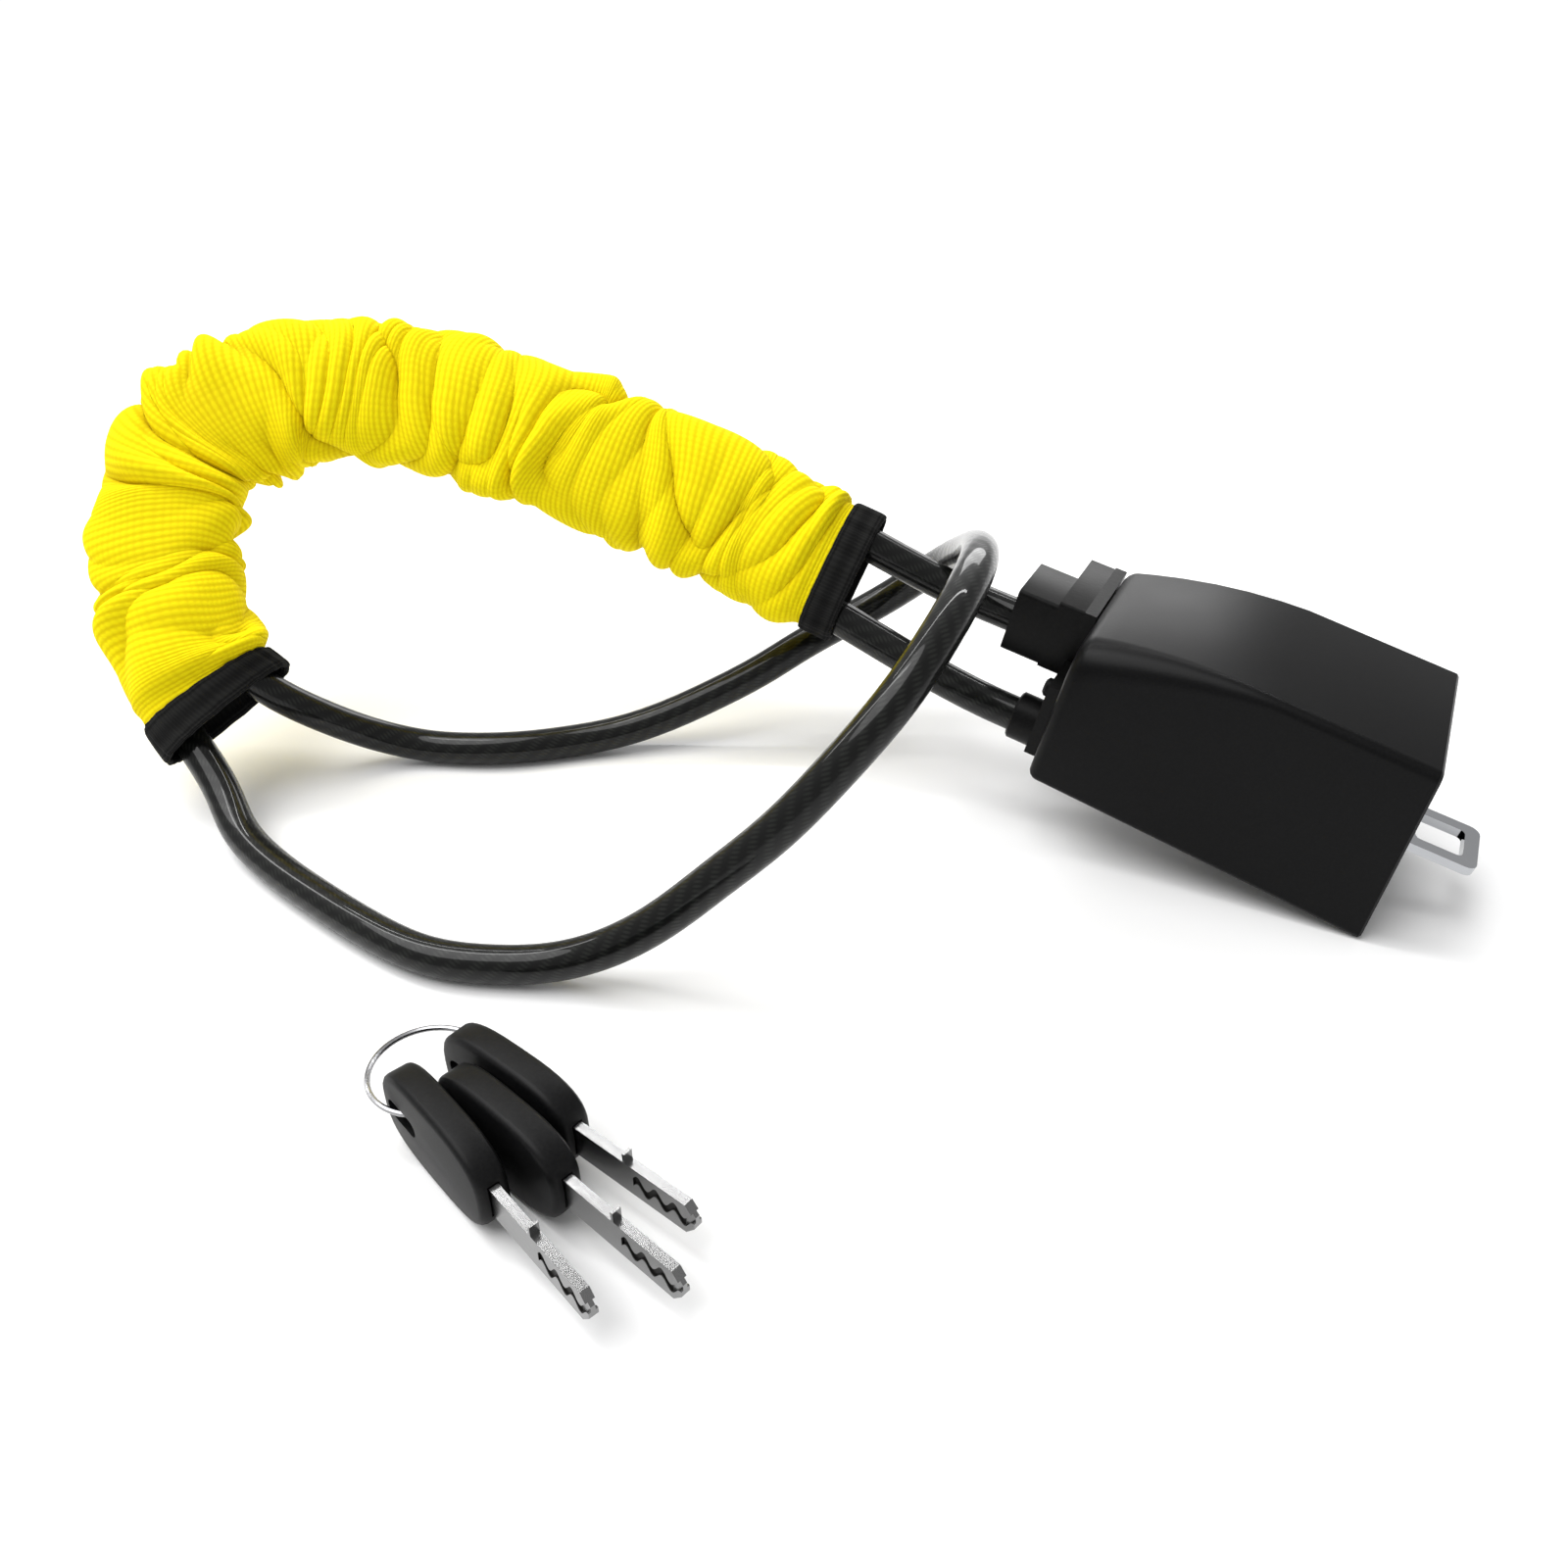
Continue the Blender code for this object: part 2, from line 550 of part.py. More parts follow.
rivet_x = head_start + 0.45 * CARRIAGE_HEAD_LENGTH
for side, name in ((-0.5, "near"), (0.5, "far")):
    rivet_y = side * RIVET_SPREAD
    hole = [(0.0, -0.03), (RIVET_SHANK + GAP, -0.03), (RIVET_SHANK + GAP, 0.03), (0.0, 0.03)]
    cut(carriage, lathe("rivet_hole", hole, "z", 20, (rivet_x, rivet_y)))
    cut(tongue, lathe("rivet_hole", hole, "z", 20, (rivet_x, rivet_y)))
    low, high = CARRIAGE_BOTTOM - GAP, CARRIAGE_TOP + GAP
    profile = [(0.0, low - RIVET_HEAD_HEIGHT), (0.8 * RIVET_HEAD, low - RIVET_HEAD_HEIGHT),
               (RIVET_HEAD, low - 0.4 * RIVET_HEAD_HEIGHT), (RIVET_HEAD, low), (RIVET_SHANK, low),
               (RIVET_SHANK, high), (RIVET_HEAD, high), (RIVET_HEAD, high + 0.4 * RIVET_HEAD_HEIGHT),
               (0.8 * RIVET_HEAD, high + RIVET_HEAD_HEIGHT), (0.0, high + RIVET_HEAD_HEIGHT)]
    shape = lathe("rivet", profile, "z", 20, (rivet_x, rivet_y))
    rivet = place("tongue_rivet_" + name, shape, "steel", lock_frame)
    smooth(rivet)

# ---------------------------------------------------------------- cable anchor
plate_face = -GAP - GAP / 3.0
plate_back = plate_face - PLATE_THICKNESS
flange_back = plate_back - FLANGE_DEPTH
block_back = flange_back - BLOCK_DEPTH
boss_back = plate_back - BOSS_DEPTH
upper_low, upper_high = STRAND_UPPER[1] - BLOCK_BELOW_STRAND, STRAND_UPPER[1] + FLANGE_ABOVE_STRAND
plate_outline = [(PLATE_NEAR_SIDE, PLATE_FOOT), (PLATE_FAR_SIDE - PLATE_CORNER_CUT, PLATE_FOOT),
                 (PLATE_FAR_SIDE, PLATE_FOOT + PLATE_CORNER_CUT), (PLATE_FAR_SIDE, upper_high),
                 (PLATE_STEP_SIDE, upper_high), (PLATE_STEP_SIDE, PLATE_STEP_HEIGHT),
                 (PLATE_NEAR_SIDE, PLATE_STEP_HEIGHT)]
anchor = place("cable_anchor", prism("cable_anchor", plate_outline, plate_back, plate_face, "x"),
               "black_casting", lock_frame)
flange = rounded(rectangle((PLATE_STEP_SIDE + SKIN, upper_low), (PLATE_FAR_SIDE - SKIN, upper_high - SKIN)),
                 0.0010, 3)
join(anchor, prism("anchor_flange", flange, flange_back, plate_back + JOIN_OVERLAP, "x"))
block = rounded(rectangle((STRAND_UPPER[0] - BLOCK_NEAR_SIDE, upper_low + SKIN),
                          (STRAND_UPPER[0] + BLOCK_FAR_SIDE, upper_high - BLOCK_STEP)), 0.0014, 3)
join(anchor, prism("anchor_block", block, block_back, flange_back + JOIN_OVERLAP, "x"))
join(anchor, lathe("anchor_boss", [(0.0, boss_back), (0.5 * BOSS_DIAMETER - 0.0006, boss_back),
                                   (0.5 * BOSS_DIAMETER, boss_back + 0.0006),
                                   (0.5 * BOSS_DIAMETER, plate_back + JOIN_OVERLAP),
                                   (0.0, plate_back + JOIN_OVERLAP)], "x", 28, STRAND_LOWER))
bore = 0.5 * CABLE_DIAMETER + GAP
seat_end = plate_face - SEAT_FLOOR
for (strand_y, strand_z), back in ((STRAND_UPPER, block_back), (STRAND_LOWER, boss_back)):
    start = back - CUT_PAST
    cut(anchor, lathe("strand_bore", [(0.0, start), (bore, start), (bore, seat_end), (0.0, seat_end)],
                      "x", 24, (strand_y, strand_z)))
ferrule_end = seat_end - GAP
ferrule_start = ferrule_end - FERRULE_LENGTH
for name, strand in (("upper", STRAND_UPPER), ("lower", STRAND_LOWER)):
    radius = 0.5 * CABLE_DIAMETER
    start = max(ferrule_start, boss_back + 0.0005)
    profile = [(0.0, start), (radius - 0.0005, start), (radius, start + 0.0005),
               (radius, ferrule_end - 0.0005), (radius - 0.0005, ferrule_end), (0.0, ferrule_end)]
    ferrule = place("cable_ferrule_" + name, lathe("ferrule", profile, "x", 20, strand), "steel", lock_frame)
    smooth(ferrule)
cable_start = max(ferrule_start, boss_back + 0.0005) - GAP

for name, centre in SCREW_PLACES.items():
    shaft = ANCHOR_SCREW_RADIUS
    hole_radius = shaft + GAP
    tip = neck_start + ANCHOR_SCREW_DEPTH
    cut(anchor, lathe("screw_hole", [(0.0, plate_back - CUT_PAST), (hole_radius, plate_back - CUT_PAST),
                                     (hole_radius, 0.002), (0.0, 0.002)], "x", 16, centre))
    cut(carriage, lathe("screw_hole", [(0.0, -0.002), (hole_radius, -0.002), (hole_radius, tip + GAP),
                                       (0.0, tip + GAP)], "x", 16, centre))
    under = plate_back - GAP
    top = under - SCREW_HEAD_HEIGHT
    profile = [(0.0, top), (1.3 * shaft, top), (1.9 * shaft, top + 0.4 * SCREW_HEAD_HEIGHT),
               (1.9 * shaft, under), (shaft, under), (shaft, tip - 0.5 * shaft), (0.5 * shaft, tip),
               (0.0, tip)]
    shape = lathe("anchor_screw", profile, "x", 16, centre)
    screw = place("anchor_screw_" + name, shape, "steel", lock_frame)
    smooth(screw)

# ---------------------------------------------------------------- lock cylinder
bezel_seat = side_wall + GAP
bezel_face = bezel_seat + BEZEL_HEIGHT
bore_radius = PLUG_RADIUS + TURN_CLEARANCE
housing = place("cylinder_housing", lathe("cylinder_housing", [
    (bore_radius, BARREL_INNER_END), (BARREL_RADIUS, BARREL_INNER_END), (BARREL_RADIUS, bezel_seat),
    (BEZEL_RADIUS, bezel_seat), (BEZEL_RADIUS, bezel_face - 0.0005), (BEZEL_RADIUS - 0.0005, bezel_face),
    (bore_radius, bezel_face)], "y", 32, cylinder_centre), "chrome", hood_frame)
smooth(housing)
nut_outer = side_wall - HOOD_WALL - GAP
nut = place("cylinder_nut", lathe("cylinder_nut", [
    (BARREL_RADIUS + GAP, nut_outer - NUT_LENGTH), (NUT_RADIUS, nut_outer - NUT_LENGTH),
    (NUT_RADIUS, nut_outer), (BARREL_RADIUS + GAP, nut_outer)], "y", 32, cylinder_centre),
            "brass", hood_frame)
smooth(nut)

plug_inner = BARREL_INNER_END - GAP
plug_face = bezel_face - PLUG_RECESS
plug_axis = empty("plug_axis", (CYLINDER_X, 0.0, CYLINDER_Z), parent=hood_frame)
plug = place("lock_plug", lathe("lock_plug", [
    (0.0, plug_inner), (PLUG_RADIUS, plug_inner), (PLUG_RADIUS, plug_face - PLUG_LIP),
    (PLUG_RADIUS - PLUG_LIP, plug_face), (0.0, plug_face)], "y", 32), "brass", plug_axis)
smooth(plug)
keyway_floor = plug_inner + KEYWAY_INSET
keyway_outline = rectangle((-0.5 * KEYWAY_WIDTH, -0.5 * KEYWAY_HEIGHT),
                           (0.5 * KEYWAY_WIDTH, 0.5 * KEYWAY_HEIGHT))
cut(plug, prism("keyway", keyway_outline, keyway_floor, plug_face + 0.002, "y"))
cam_screw_hole = CAM_SCREW_RADIUS + GAP
cam_screw_tip = plug_inner + 0.0035
cut(plug, lathe("cam_screw_hole", [(0.0, plug_inner - 0.001), (cam_screw_hole, plug_inner - 0.001),
                                   (cam_screw_hole, cam_screw_tip + GAP), (0.0, cam_screw_tip + GAP)],
                "y", 16))
for k in range(WAFER_COUNT):
    wafer_y = keyway_floor + WAFER_FIRST + k * WAFER_PITCH
    slot_y = 0.5 * WAFER_THICKNESS + 0.5 * GAP
    cut(plug, prism("wafer_slot", rectangle((-0.5 * WAFER_WIDTH - 0.5 * GAP, -1.2 * PLUG_RADIUS),
                                            (0.5 * WAFER_WIDTH + 0.5 * GAP, 1.2 * PLUG_RADIUS)),
                    wafer_y - slot_y, wafer_y + slot_y, "y"))
    wafer_outline = rectangle((-0.5 * WAFER_WIDTH, -0.5 * WAFER_HEIGHT), (0.5 * WAFER_WIDTH, 0.5 * WAFER_HEIGHT))
    plate = prism("wafer", wafer_outline, wafer_y - 0.5 * WAFER_THICKNESS, wafer_y + 0.5 * WAFER_THICKNESS, "y")
    wafer = place("wafer_%d" % (k + 1), plate, "brass", plug_axis)
    cut(wafer, prism("wafer_window", keyway_outline, wafer_y - WAFER_THICKNESS, wafer_y + WAFER_THICKNESS, "y"))

cam_outer = plug_inner - GAP
cam_inner = cam_outer - CAM_THICKNESS
cam = place("cam", lathe("cam", [(cam_screw_hole, cam_inner), (CAM_RADIUS, cam_inner), (CAM_RADIUS, cam_outer),
                                 (cam_screw_hole, cam_outer)], "y", 28), "steel", plug_axis)
pin_end = bolt_back + 0.3 * BOLT_THICKNESS
join(cam, lathe("cam_pin", [(0.0, pin_end), (CAM_PIN_RADIUS, pin_end), (CAM_PIN_RADIUS, cam_inner + 0.001),
                            (0.0, cam_inner + 0.001)], "y", 16, (0.0, CAM_THROW)))
smooth(cam)
head_top = cam_inner - GAP
cam_screw = place("cam_screw", lathe("cam_screw", [
    (0.0, head_top - CAM_SCREW_HEAD_HEIGHT), (CAM_SCREW_HEAD_RADIUS, head_top - CAM_SCREW_HEAD_HEIGHT),
    (CAM_SCREW_HEAD_RADIUS, head_top), (CAM_SCREW_RADIUS, head_top), (CAM_SCREW_RADIUS, cam_screw_tip),
    (0.0, cam_screw_tip)], "y", 16), "steel", plug_axis)
smooth(cam_screw)

# ---------------------------------------------------------------- deadbolt and its guide
bolt_foot = CARRIAGE_TOP + BOLT_LIFT
plate_foot = bolt_foot + BOLT_STEM_LENGTH
plate_top = plate_foot + BOLT_PLATE_HEIGHT
bolt_left = CYLINDER_X - 0.36 * BOLT_PLATE_WIDTH
bolt_right = bolt_left + BOLT_PLATE_WIDTH
stem_half = 0.5 * BOLT_STEM_WIDTH
bolt_outline = [(CYLINDER_X - stem_half, bolt_foot), (CYLINDER_X + stem_half, bolt_foot),
                (CYLINDER_X + stem_half, plate_foot), (bolt_right, plate_foot), (bolt_right, plate_top),
                (bolt_left, plate_top), (bolt_left, plate_foot), (CYLINDER_X - stem_half, plate_foot)]
bolt = place("deadbolt", prism("deadbolt", bolt_outline, bolt_back, bolt_front, "y"), "steel", hood_frame,
             (CYLINDER_X, 0.0, bolt_foot))
pin_room = CAM_PIN_RADIUS + SLIDE_CLEARANCE
lag = 0.211 * CAM_THROW            # how far the pin's arc rises above the bolt's even travel
slot_low = CYLINDER_Z + CAM_THROW - pin_room
bolt_slot = rectangle((CYLINDER_X - pin_room, slot_low),
                      (CYLINDER_X + CAM_THROW + pin_room, slot_low + 2.0 * pin_room + lag))
cut(bolt, prism("bolt_slot", bolt_slot, bolt_back - 0.002, bolt_front + 0.002, "y"))

guide_left, guide_right = bolt_left - SLIDE_CLEARANCE, bolt_right + SLIDE_CLEARANCE
guide_inner = bolt_back - SLIDE_CLEARANCE
guide_back = guide_inner - GUIDE_BACK
arm_end = -(side_wall - HOOD_WALL - GAP)
arm_left, arm_right = (CYLINDER_X + reach for reach in GUIDE_ARM)
guide_outline = [(guide_left - GUIDE_WALL, guide_back), (arm_left, guide_back),
                 (arm_left, arm_end), (arm_right, arm_end), (arm_right, guide_back),
                 (guide_right + GUIDE_WALL, guide_back), (guide_right + GUIDE_WALL, bolt_front),
                 (guide_right, bolt_front), (guide_right, guide_inner), (guide_left, guide_inner),
                 (guide_left, bolt_front), (guide_left - GUIDE_WALL, bolt_front)]
guide_foot = CARRIAGE_TOP + GUIDE_LIFT
guide = place("bolt_guide", prism("bolt_guide", guide_outline, guide_foot, guide_foot + GUIDE_HEIGHT, "z"),
              "black_casting", hood_frame)

# ---------------------------------------------------------------- cable and sleeve
sleeve_line = smooth_curve(SLEEVE_ROUTE, 49)
sleeve_run, sleeve_side = across(sleeve_line)
share = np.linspace(0.0, 1.0, len(sleeve_line))
opening = np.clip((share - HEM_TWIST_START) / (1.0 - HEM_TWIST_START), 0.0, 1.0) ** 2
twist = HEM_TWIST * opening[:, None]
sleeve_side = sleeve_side * np.cos(twist) + np.cross(sleeve_run, sleeve_side) * np.sin(twist)
half_spread = 0.5 * STRAND_SPREAD
inside = range(2, len(sleeve_line) - 1, 4)
outer_strand = [sleeve_line[k] - half_spread * sleeve_side[k] for k in inside]
inner_strand = [sleeve_line[k] + half_spread * sleeve_side[k] for k in inside]


def strand_exit(strand, x):
    """A point on a strand's axis at x of the lock frame, in world coordinates."""
    return LOCK_MATRIX @ Vector((x, strand[0], strand[1]))


upper_exit = [strand_exit(STRAND_UPPER, x) for x in (cable_start, block_back, block_back - 0.016)]
lower_exit = [strand_exit(STRAND_LOWER, x) for x in (cable_start, boss_back - 0.008)]
cable_knots = upper_exit + outer_strand + list(CABLE_ROUTE) + inner_strand[::-1] + lower_exit[::-1]
cable_points = smooth_curve(cable_knots, CABLE_POINTS, CABLE_TURN_SHARE)

cable_curve = bpy.data.curves.new("cable", "CURVE")
cable_curve.dimensions = "3D"
cable_curve.bevel_depth = 0.5 * CABLE_DIAMETER
cable_curve.bevel_resolution = 3
cable_curve.use_fill_caps = True
spline = cable_curve.splines.new("POLY")
spline.points.add(len(cable_points) - 1)
for point, where in zip(spline.points, cable_points):
    point.co = (*map(float, where), 1.0)
spline.use_smooth = True
cable = bpy.data.objects.new("cable", cable_curve)
cable_curve.materials.append(material("cable_jacket"))
bpy.context.scene.collection.objects.link(cable)


def sleeve_section(k, half_width, half_depth, steps=18):
    """A flat oval round both strands at one point of the sleeve's middle line."""
    centre, side = sleeve_line[k], sleeve_side[k]
    depth = np.cross(sleeve_run[k], side)
    half_width += HEM_FLARE * opening[k]
    ring = []
    for step in range(steps):
        angle = 2.0 * math.pi * step / steps
        wide = math.copysign(abs(math.cos(angle)) ** 0.8, math.cos(angle)) * half_width
        deep = math.copysign(abs(math.sin(angle)) ** 0.8, math.sin(angle)) * half_depth
        ring.append(centre + wide * side + deep * depth)
    return ring


def sleeve_tube(name, first, last, grow, slot):
    """A hollow oval tube round the strands between two stations of the sleeve's middle line."""
    inner_wide = half_spread + 0.5 * CABLE_DIAMETER + SLEEVE_ROOM
    inner_deep = 0.5 * CABLE_DIAMETER + SLEEVE_SWELL
    wall = SLEEVE_WALL + grow
    stations = list(range(first, last + 1))
    outer = [sleeve_section(k, inner_wide + wall, inner_deep + wall) for k in stations]
    inner = [sleeve_section(k, inner_wide, inner_deep) for k in reversed(stations)]
    piece = place(name, loft(name, outer + inner, closed=True), slot, None)
    smooth(piece, 60.0)
    return piece


hem_stations = max(2, round(HEM_WIDTH / float(np.linalg.norm(sleeve_line[1] - sleeve_line[0]))))
last_station = len(sleeve_line) - 1
near_hem_end = hem_stations
far_hem_start = last_station - hem_stations
sleeve_tube("sleeve", near_hem_end, far_hem_start, 0.0, "yellow_fabric")
sleeve_tube("sleeve_hem_lock_end", 0, near_hem_end, HEM_EXTRA, "black_webbing")
sleeve_tube("sleeve_hem_loop_end", far_hem_start, last_station, HEM_EXTRA, "black_webbing")

# ---------------------------------------------------------------- keys on their ring
ring_frame = empty("key_ring_frame", (RING_CENTRE[0], RING_CENTRE[1], RING_HEIGHT))
ring_loops = []
for step in range(56):
    angle = 2.0 * math.pi * step / 56
    loop = []
    for part in range(8):
        round_angle = 2.0 * math.pi * part / 8
        reach = RING_RADIUS + 0.5 * RING_WIRE * math.cos(round_angle)
        rise = 0.5 * RING_WIRE * math.sin(round_angle)
        loop.append((reach * math.cos(angle), reach * math.sin(angle), rise))
    ring_loops.append(loop)
key_ring = place("key_ring", loft("key_ring", ring_loops, closed=True), "steel", ring_frame)
smooth(key_ring, 60.0)


def head_outline(inset, steps=40):
    """The key head's rounded outline, pulled in by the inset, with x measured from the hole."""
    middle = 0.5 * KEY_HEAD_LENGTH - KEY_HOLE_FROM_END
    outline = []
    for step in range(steps):
        angle = 2.0 * math.pi * step / steps
        c, s = math.cos(angle), math.sin(angle)
        power = 2.0 / KEY_HEAD_ROUND
        outline.append((middle + (0.5 * KEY_HEAD_LENGTH - inset) * math.copysign(abs(c) ** power, c),
                        (0.5 * KEY_HEAD_HEIGHT - inset) * math.copysign(abs(s) ** power, s)))
    return outline


def key_head_mesh():
    """The head as a stack of outlines across its thickness, with a rounded rim."""
    half = 0.5 * KEY_HEAD_THICKNESS
    layers = [(half - KEY_HEAD_EDGE * (1.0 - math.cos(math.radians(a))),
               KEY_HEAD_EDGE * (1.0 - math.sin(math.radians(a)))) for a in (0.0, 30.0, 60.0, 90.0)]
    stack = [(-level, inset) for level, inset in layers] + [(level, inset) for level, inset in layers[::-1]]
    return loft("key_head", [[(x, level, z) for x, z in head_outline(inset)] for level, inset in stack])


blade_start = KEY_HEAD_LENGTH - KEY_HOLE_FROM_END
blade_half = 0.5 * BLADE_HEIGHT
tang_start = blade_start - BLADE_TANG
blade_end = blade_start + BLADE_LENGTH
fin_start = blade_start + 0.42 * BLADE_LENGTH
groove_start = blade_start + 0.50 * BLADE_LENGTH


def blade_outline(grow):
    """The blade seen from its flat side, with its stop fin on the upper edge."""
    top = blade_half + grow
    return [(tang_start - grow, -top), (blade_end - BLADE_TIP, -top), (blade_end, -0.35 * blade_half),
            (blade_end, 0.35 * blade_half), (blade_end - BLADE_TIP, top), (fin_start + FIN_WIDTH, top),
            (fin_start + FIN_WIDTH, top + FIN_HEIGHT), (fin_start, top + FIN_HEIGHT), (fin_start, top),
            (tang_start - grow, top)]


def groove_outline(steps=42):
    """A band of even height that follows a sine wave along the outer half of the blade."""
    upper, lower = [], []
    for step in range(steps + 1):
        share = step / steps
        x = groove_start + (blade_end + 0.001 - groove_start) * share
        z = GROOVE_WAVE * math.sin(2.0 * math.pi * GROOVE_TURNS * share)
        upper.append((x, z + 0.5 * GROOVE_WIDTH))
        lower.append((x, z - 0.5 * GROOVE_WIDTH))
    return lower + upper[::-1]


slot_outline = rounded(rectangle((-0.5 * KEY_SLOT_LENGTH, -0.5 * KEY_SLOT_HEIGHT),
                                 (0.5 * KEY_SLOT_LENGTH, 0.5 * KEY_SLOT_HEIGHT)), 0.45 * KEY_SLOT_HEIGHT, 4)
for name, (end_x, end_y, heading) in KEY_PLACES.items():
    turn = math.radians(heading)
    hole = (end_x + KEY_HOLE_FROM_END * math.cos(turn), end_y + KEY_HOLE_FROM_END * math.sin(turn),
            0.5 * KEY_HEAD_HEIGHT)
    key_frame = empty("key_%s_axis" % name, hole, (0.0, 0.0, turn))
    head = place("key_head_" + name, key_head_mesh(), "key_plastic", key_frame)
    cut(head, prism("ring_slot", slot_outline, -KEY_HEAD_THICKNESS, KEY_HEAD_THICKNESS, "y"))
    cut(head, prism("tang_pocket", rectangle((tang_start - GAP, -blade_half - GAP),
                                             (blade_start + 0.004, blade_half + GAP)),
                    -0.5 * BLADE_THICKNESS - GAP, 0.5 * BLADE_THICKNESS + GAP, "y"))
    smooth(head, 50.0)
    blade = place("key_blade_" + name, prism("key_blade", blade_outline(0.0), -0.5 * BLADE_THICKNESS,
                                             0.5 * BLADE_THICKNESS, "y"), "steel", key_frame)
    for side in (-1.0, 1.0):
        face = 0.5 * BLADE_THICKNESS
        levels = sorted((side * (face - GROOVE_DEPTH), side * (face + 0.001)))
        cut(blade, prism("wave_groove", groove_outline(), levels[0], levels[1], "y"))
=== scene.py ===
"""Seat belt tongue cable lock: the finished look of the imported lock, its cable, sleeve and keys."""
import math

import bpy
import numpy as np
from mathutils import Euler, Matrix, Vector


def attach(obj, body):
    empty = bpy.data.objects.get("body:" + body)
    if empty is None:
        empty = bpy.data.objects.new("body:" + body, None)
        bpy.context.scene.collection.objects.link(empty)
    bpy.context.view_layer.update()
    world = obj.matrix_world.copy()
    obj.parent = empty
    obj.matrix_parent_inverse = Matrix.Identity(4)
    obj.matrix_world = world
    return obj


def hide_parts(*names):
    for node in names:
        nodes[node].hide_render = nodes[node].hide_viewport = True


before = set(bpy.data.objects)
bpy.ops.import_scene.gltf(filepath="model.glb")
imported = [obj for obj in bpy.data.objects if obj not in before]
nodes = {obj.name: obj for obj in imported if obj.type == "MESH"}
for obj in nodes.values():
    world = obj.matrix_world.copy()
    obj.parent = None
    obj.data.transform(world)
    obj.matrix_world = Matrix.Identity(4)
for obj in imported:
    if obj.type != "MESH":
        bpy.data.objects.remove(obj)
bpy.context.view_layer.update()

TURN = 2.0 * math.pi

# ---------------------------------------------------------------- sizes in metres
# These follow the solids, except the hems, which are wider than the solid ones, and two points of the cable's route.
LOCK_PLACE = (0.0965, 0.0530, 0.0425)
LOCK_PITCH = math.radians(12.0)
LOCK_YAW = math.radians(-26.7)
CABLE_DIAMETER = 0.0105
STRAND_UPPER = (0.0065, 0.0092)
STRAND_LOWER = (-0.0130, -0.0103)
CABLE_START = -0.0074
BLOCK_BACK = -0.0240
BOSS_BACK = -0.0115
STRAND_SPREAD = 0.0240
SLEEVE_ROOM = 0.0015
SLEEVE_SWELL = 0.0030
HEM_WIDTH = 0.0104
HEM_TWIST = math.radians(-20.0)
HEM_TWIST_START = 0.90
HEM_FLARE = 0.0026
ARCH_LEAN = np.array((0.0, 0.829, -0.559))
SLEEVE_ROUTE = [
    (0.0326, 0.0790, 0.0636), (0.0115, 0.0865, 0.0711), (-0.0135, 0.0960, 0.0806),
    (-0.0390, 0.1035, 0.0890), (-0.0660, 0.1120, 0.0975), (-0.0900, 0.1180, 0.1030),
    (-0.1150, 0.1235, 0.1065), (-0.1417, 0.1255, 0.1060), (-0.1633, 0.1224, 0.1010),
    (-0.1772, 0.1141, 0.0923), (-0.1822, 0.1009, 0.0782), (-0.1810, 0.0866, 0.0623),
    (-0.1752, 0.0724, 0.0466), (-0.1674, 0.0622, 0.0352), (-0.1600, 0.0576, 0.0284),
]
CABLE_ROUTE = [
    (-0.1595, 0.0385, 0.0135), (-0.1522, 0.0276, 0.0082), (-0.1394, 0.0137, 0.0057),
    (-0.1180, -0.0046, 0.0055), (-0.0985, -0.0192, 0.0055), (-0.0820, -0.0280, 0.0055),
    (-0.0660, -0.0308, 0.0055), (-0.0510, -0.0318, 0.0070), (-0.0355, -0.0330, 0.0130),
    (-0.0202, -0.0340, 0.0238), (-0.0065, -0.0340, 0.0364), (0.0077, -0.0332, 0.0497),
    (0.0220, -0.0296, 0.0648), (0.0366, -0.0215, 0.0800), (0.0480, -0.0060, 0.0895),
    (0.0574, 0.0160, 0.0932), (0.0638, 0.0478, 0.0869), (0.0649, 0.0822, 0.0714),
    (0.0588, 0.1038, 0.0562), (0.0454, 0.1090, 0.0436), (0.0288, 0.1040, 0.0358),
    (0.0158, 0.0970, 0.0314), (0.0029, 0.0922, 0.0250), (-0.0125, 0.0882, 0.0180),
    (-0.0290, 0.0852, 0.0112), (-0.0455, 0.0820, 0.0068), (-0.0607, 0.0785, 0.0055),
    (-0.0761, 0.0750, 0.0055), (-0.0919, 0.0741, 0.0055), (-0.1075, 0.0752, 0.0060),
    (-0.1230, 0.0738, 0.0112), (-0.1372, 0.0690, 0.0215),
]
KEYS = {
    "front": (-0.0777, -0.0796, -47.9),
    "middle": (-0.0657, -0.0801, -42.3),
    "back": (-0.0671, -0.0679, -38.9),
}
KEY_LENGTH = 0.0765
BLADE_TIP = 0.0024
KEY_HEIGHT = 0.012

# sizes of the finishes' patterns
SLEEVE_GIRTH = 0.106
CLOTH_GATHER = 1.25               # length of cloth for each length of the arch
RIB_PITCH = 0.0017
FLOAT_PITCH = 0.0016
TAPE_RIB_PITCH = 0.0012
TAPE_PICK_PITCH = 0.0009
TAPE_GIRTH = 0.018
CABLE_GIRTH = 0.033
STRANDS_ROUND = 6.0
WIRES_ROUND = 24.0
STRAND_PITCH = 0.0062
WIRE_PITCH = 0.0021

# ---------------------------------------------------------------- camera and light
camera_data = bpy.data.cameras.new("camera")
camera_data.lens = 30.0
camera_data.sensor_width = 36.0
camera_data.clip_start = 0.01
camera = bpy.data.objects.new("camera", camera_data)
camera.location = (0.010, -0.287, 0.235)
camera.rotation_euler = (math.radians(56.0), 0.0, 0.0)
bpy.context.scene.collection.objects.link(camera)
bpy.context.scene.camera = camera


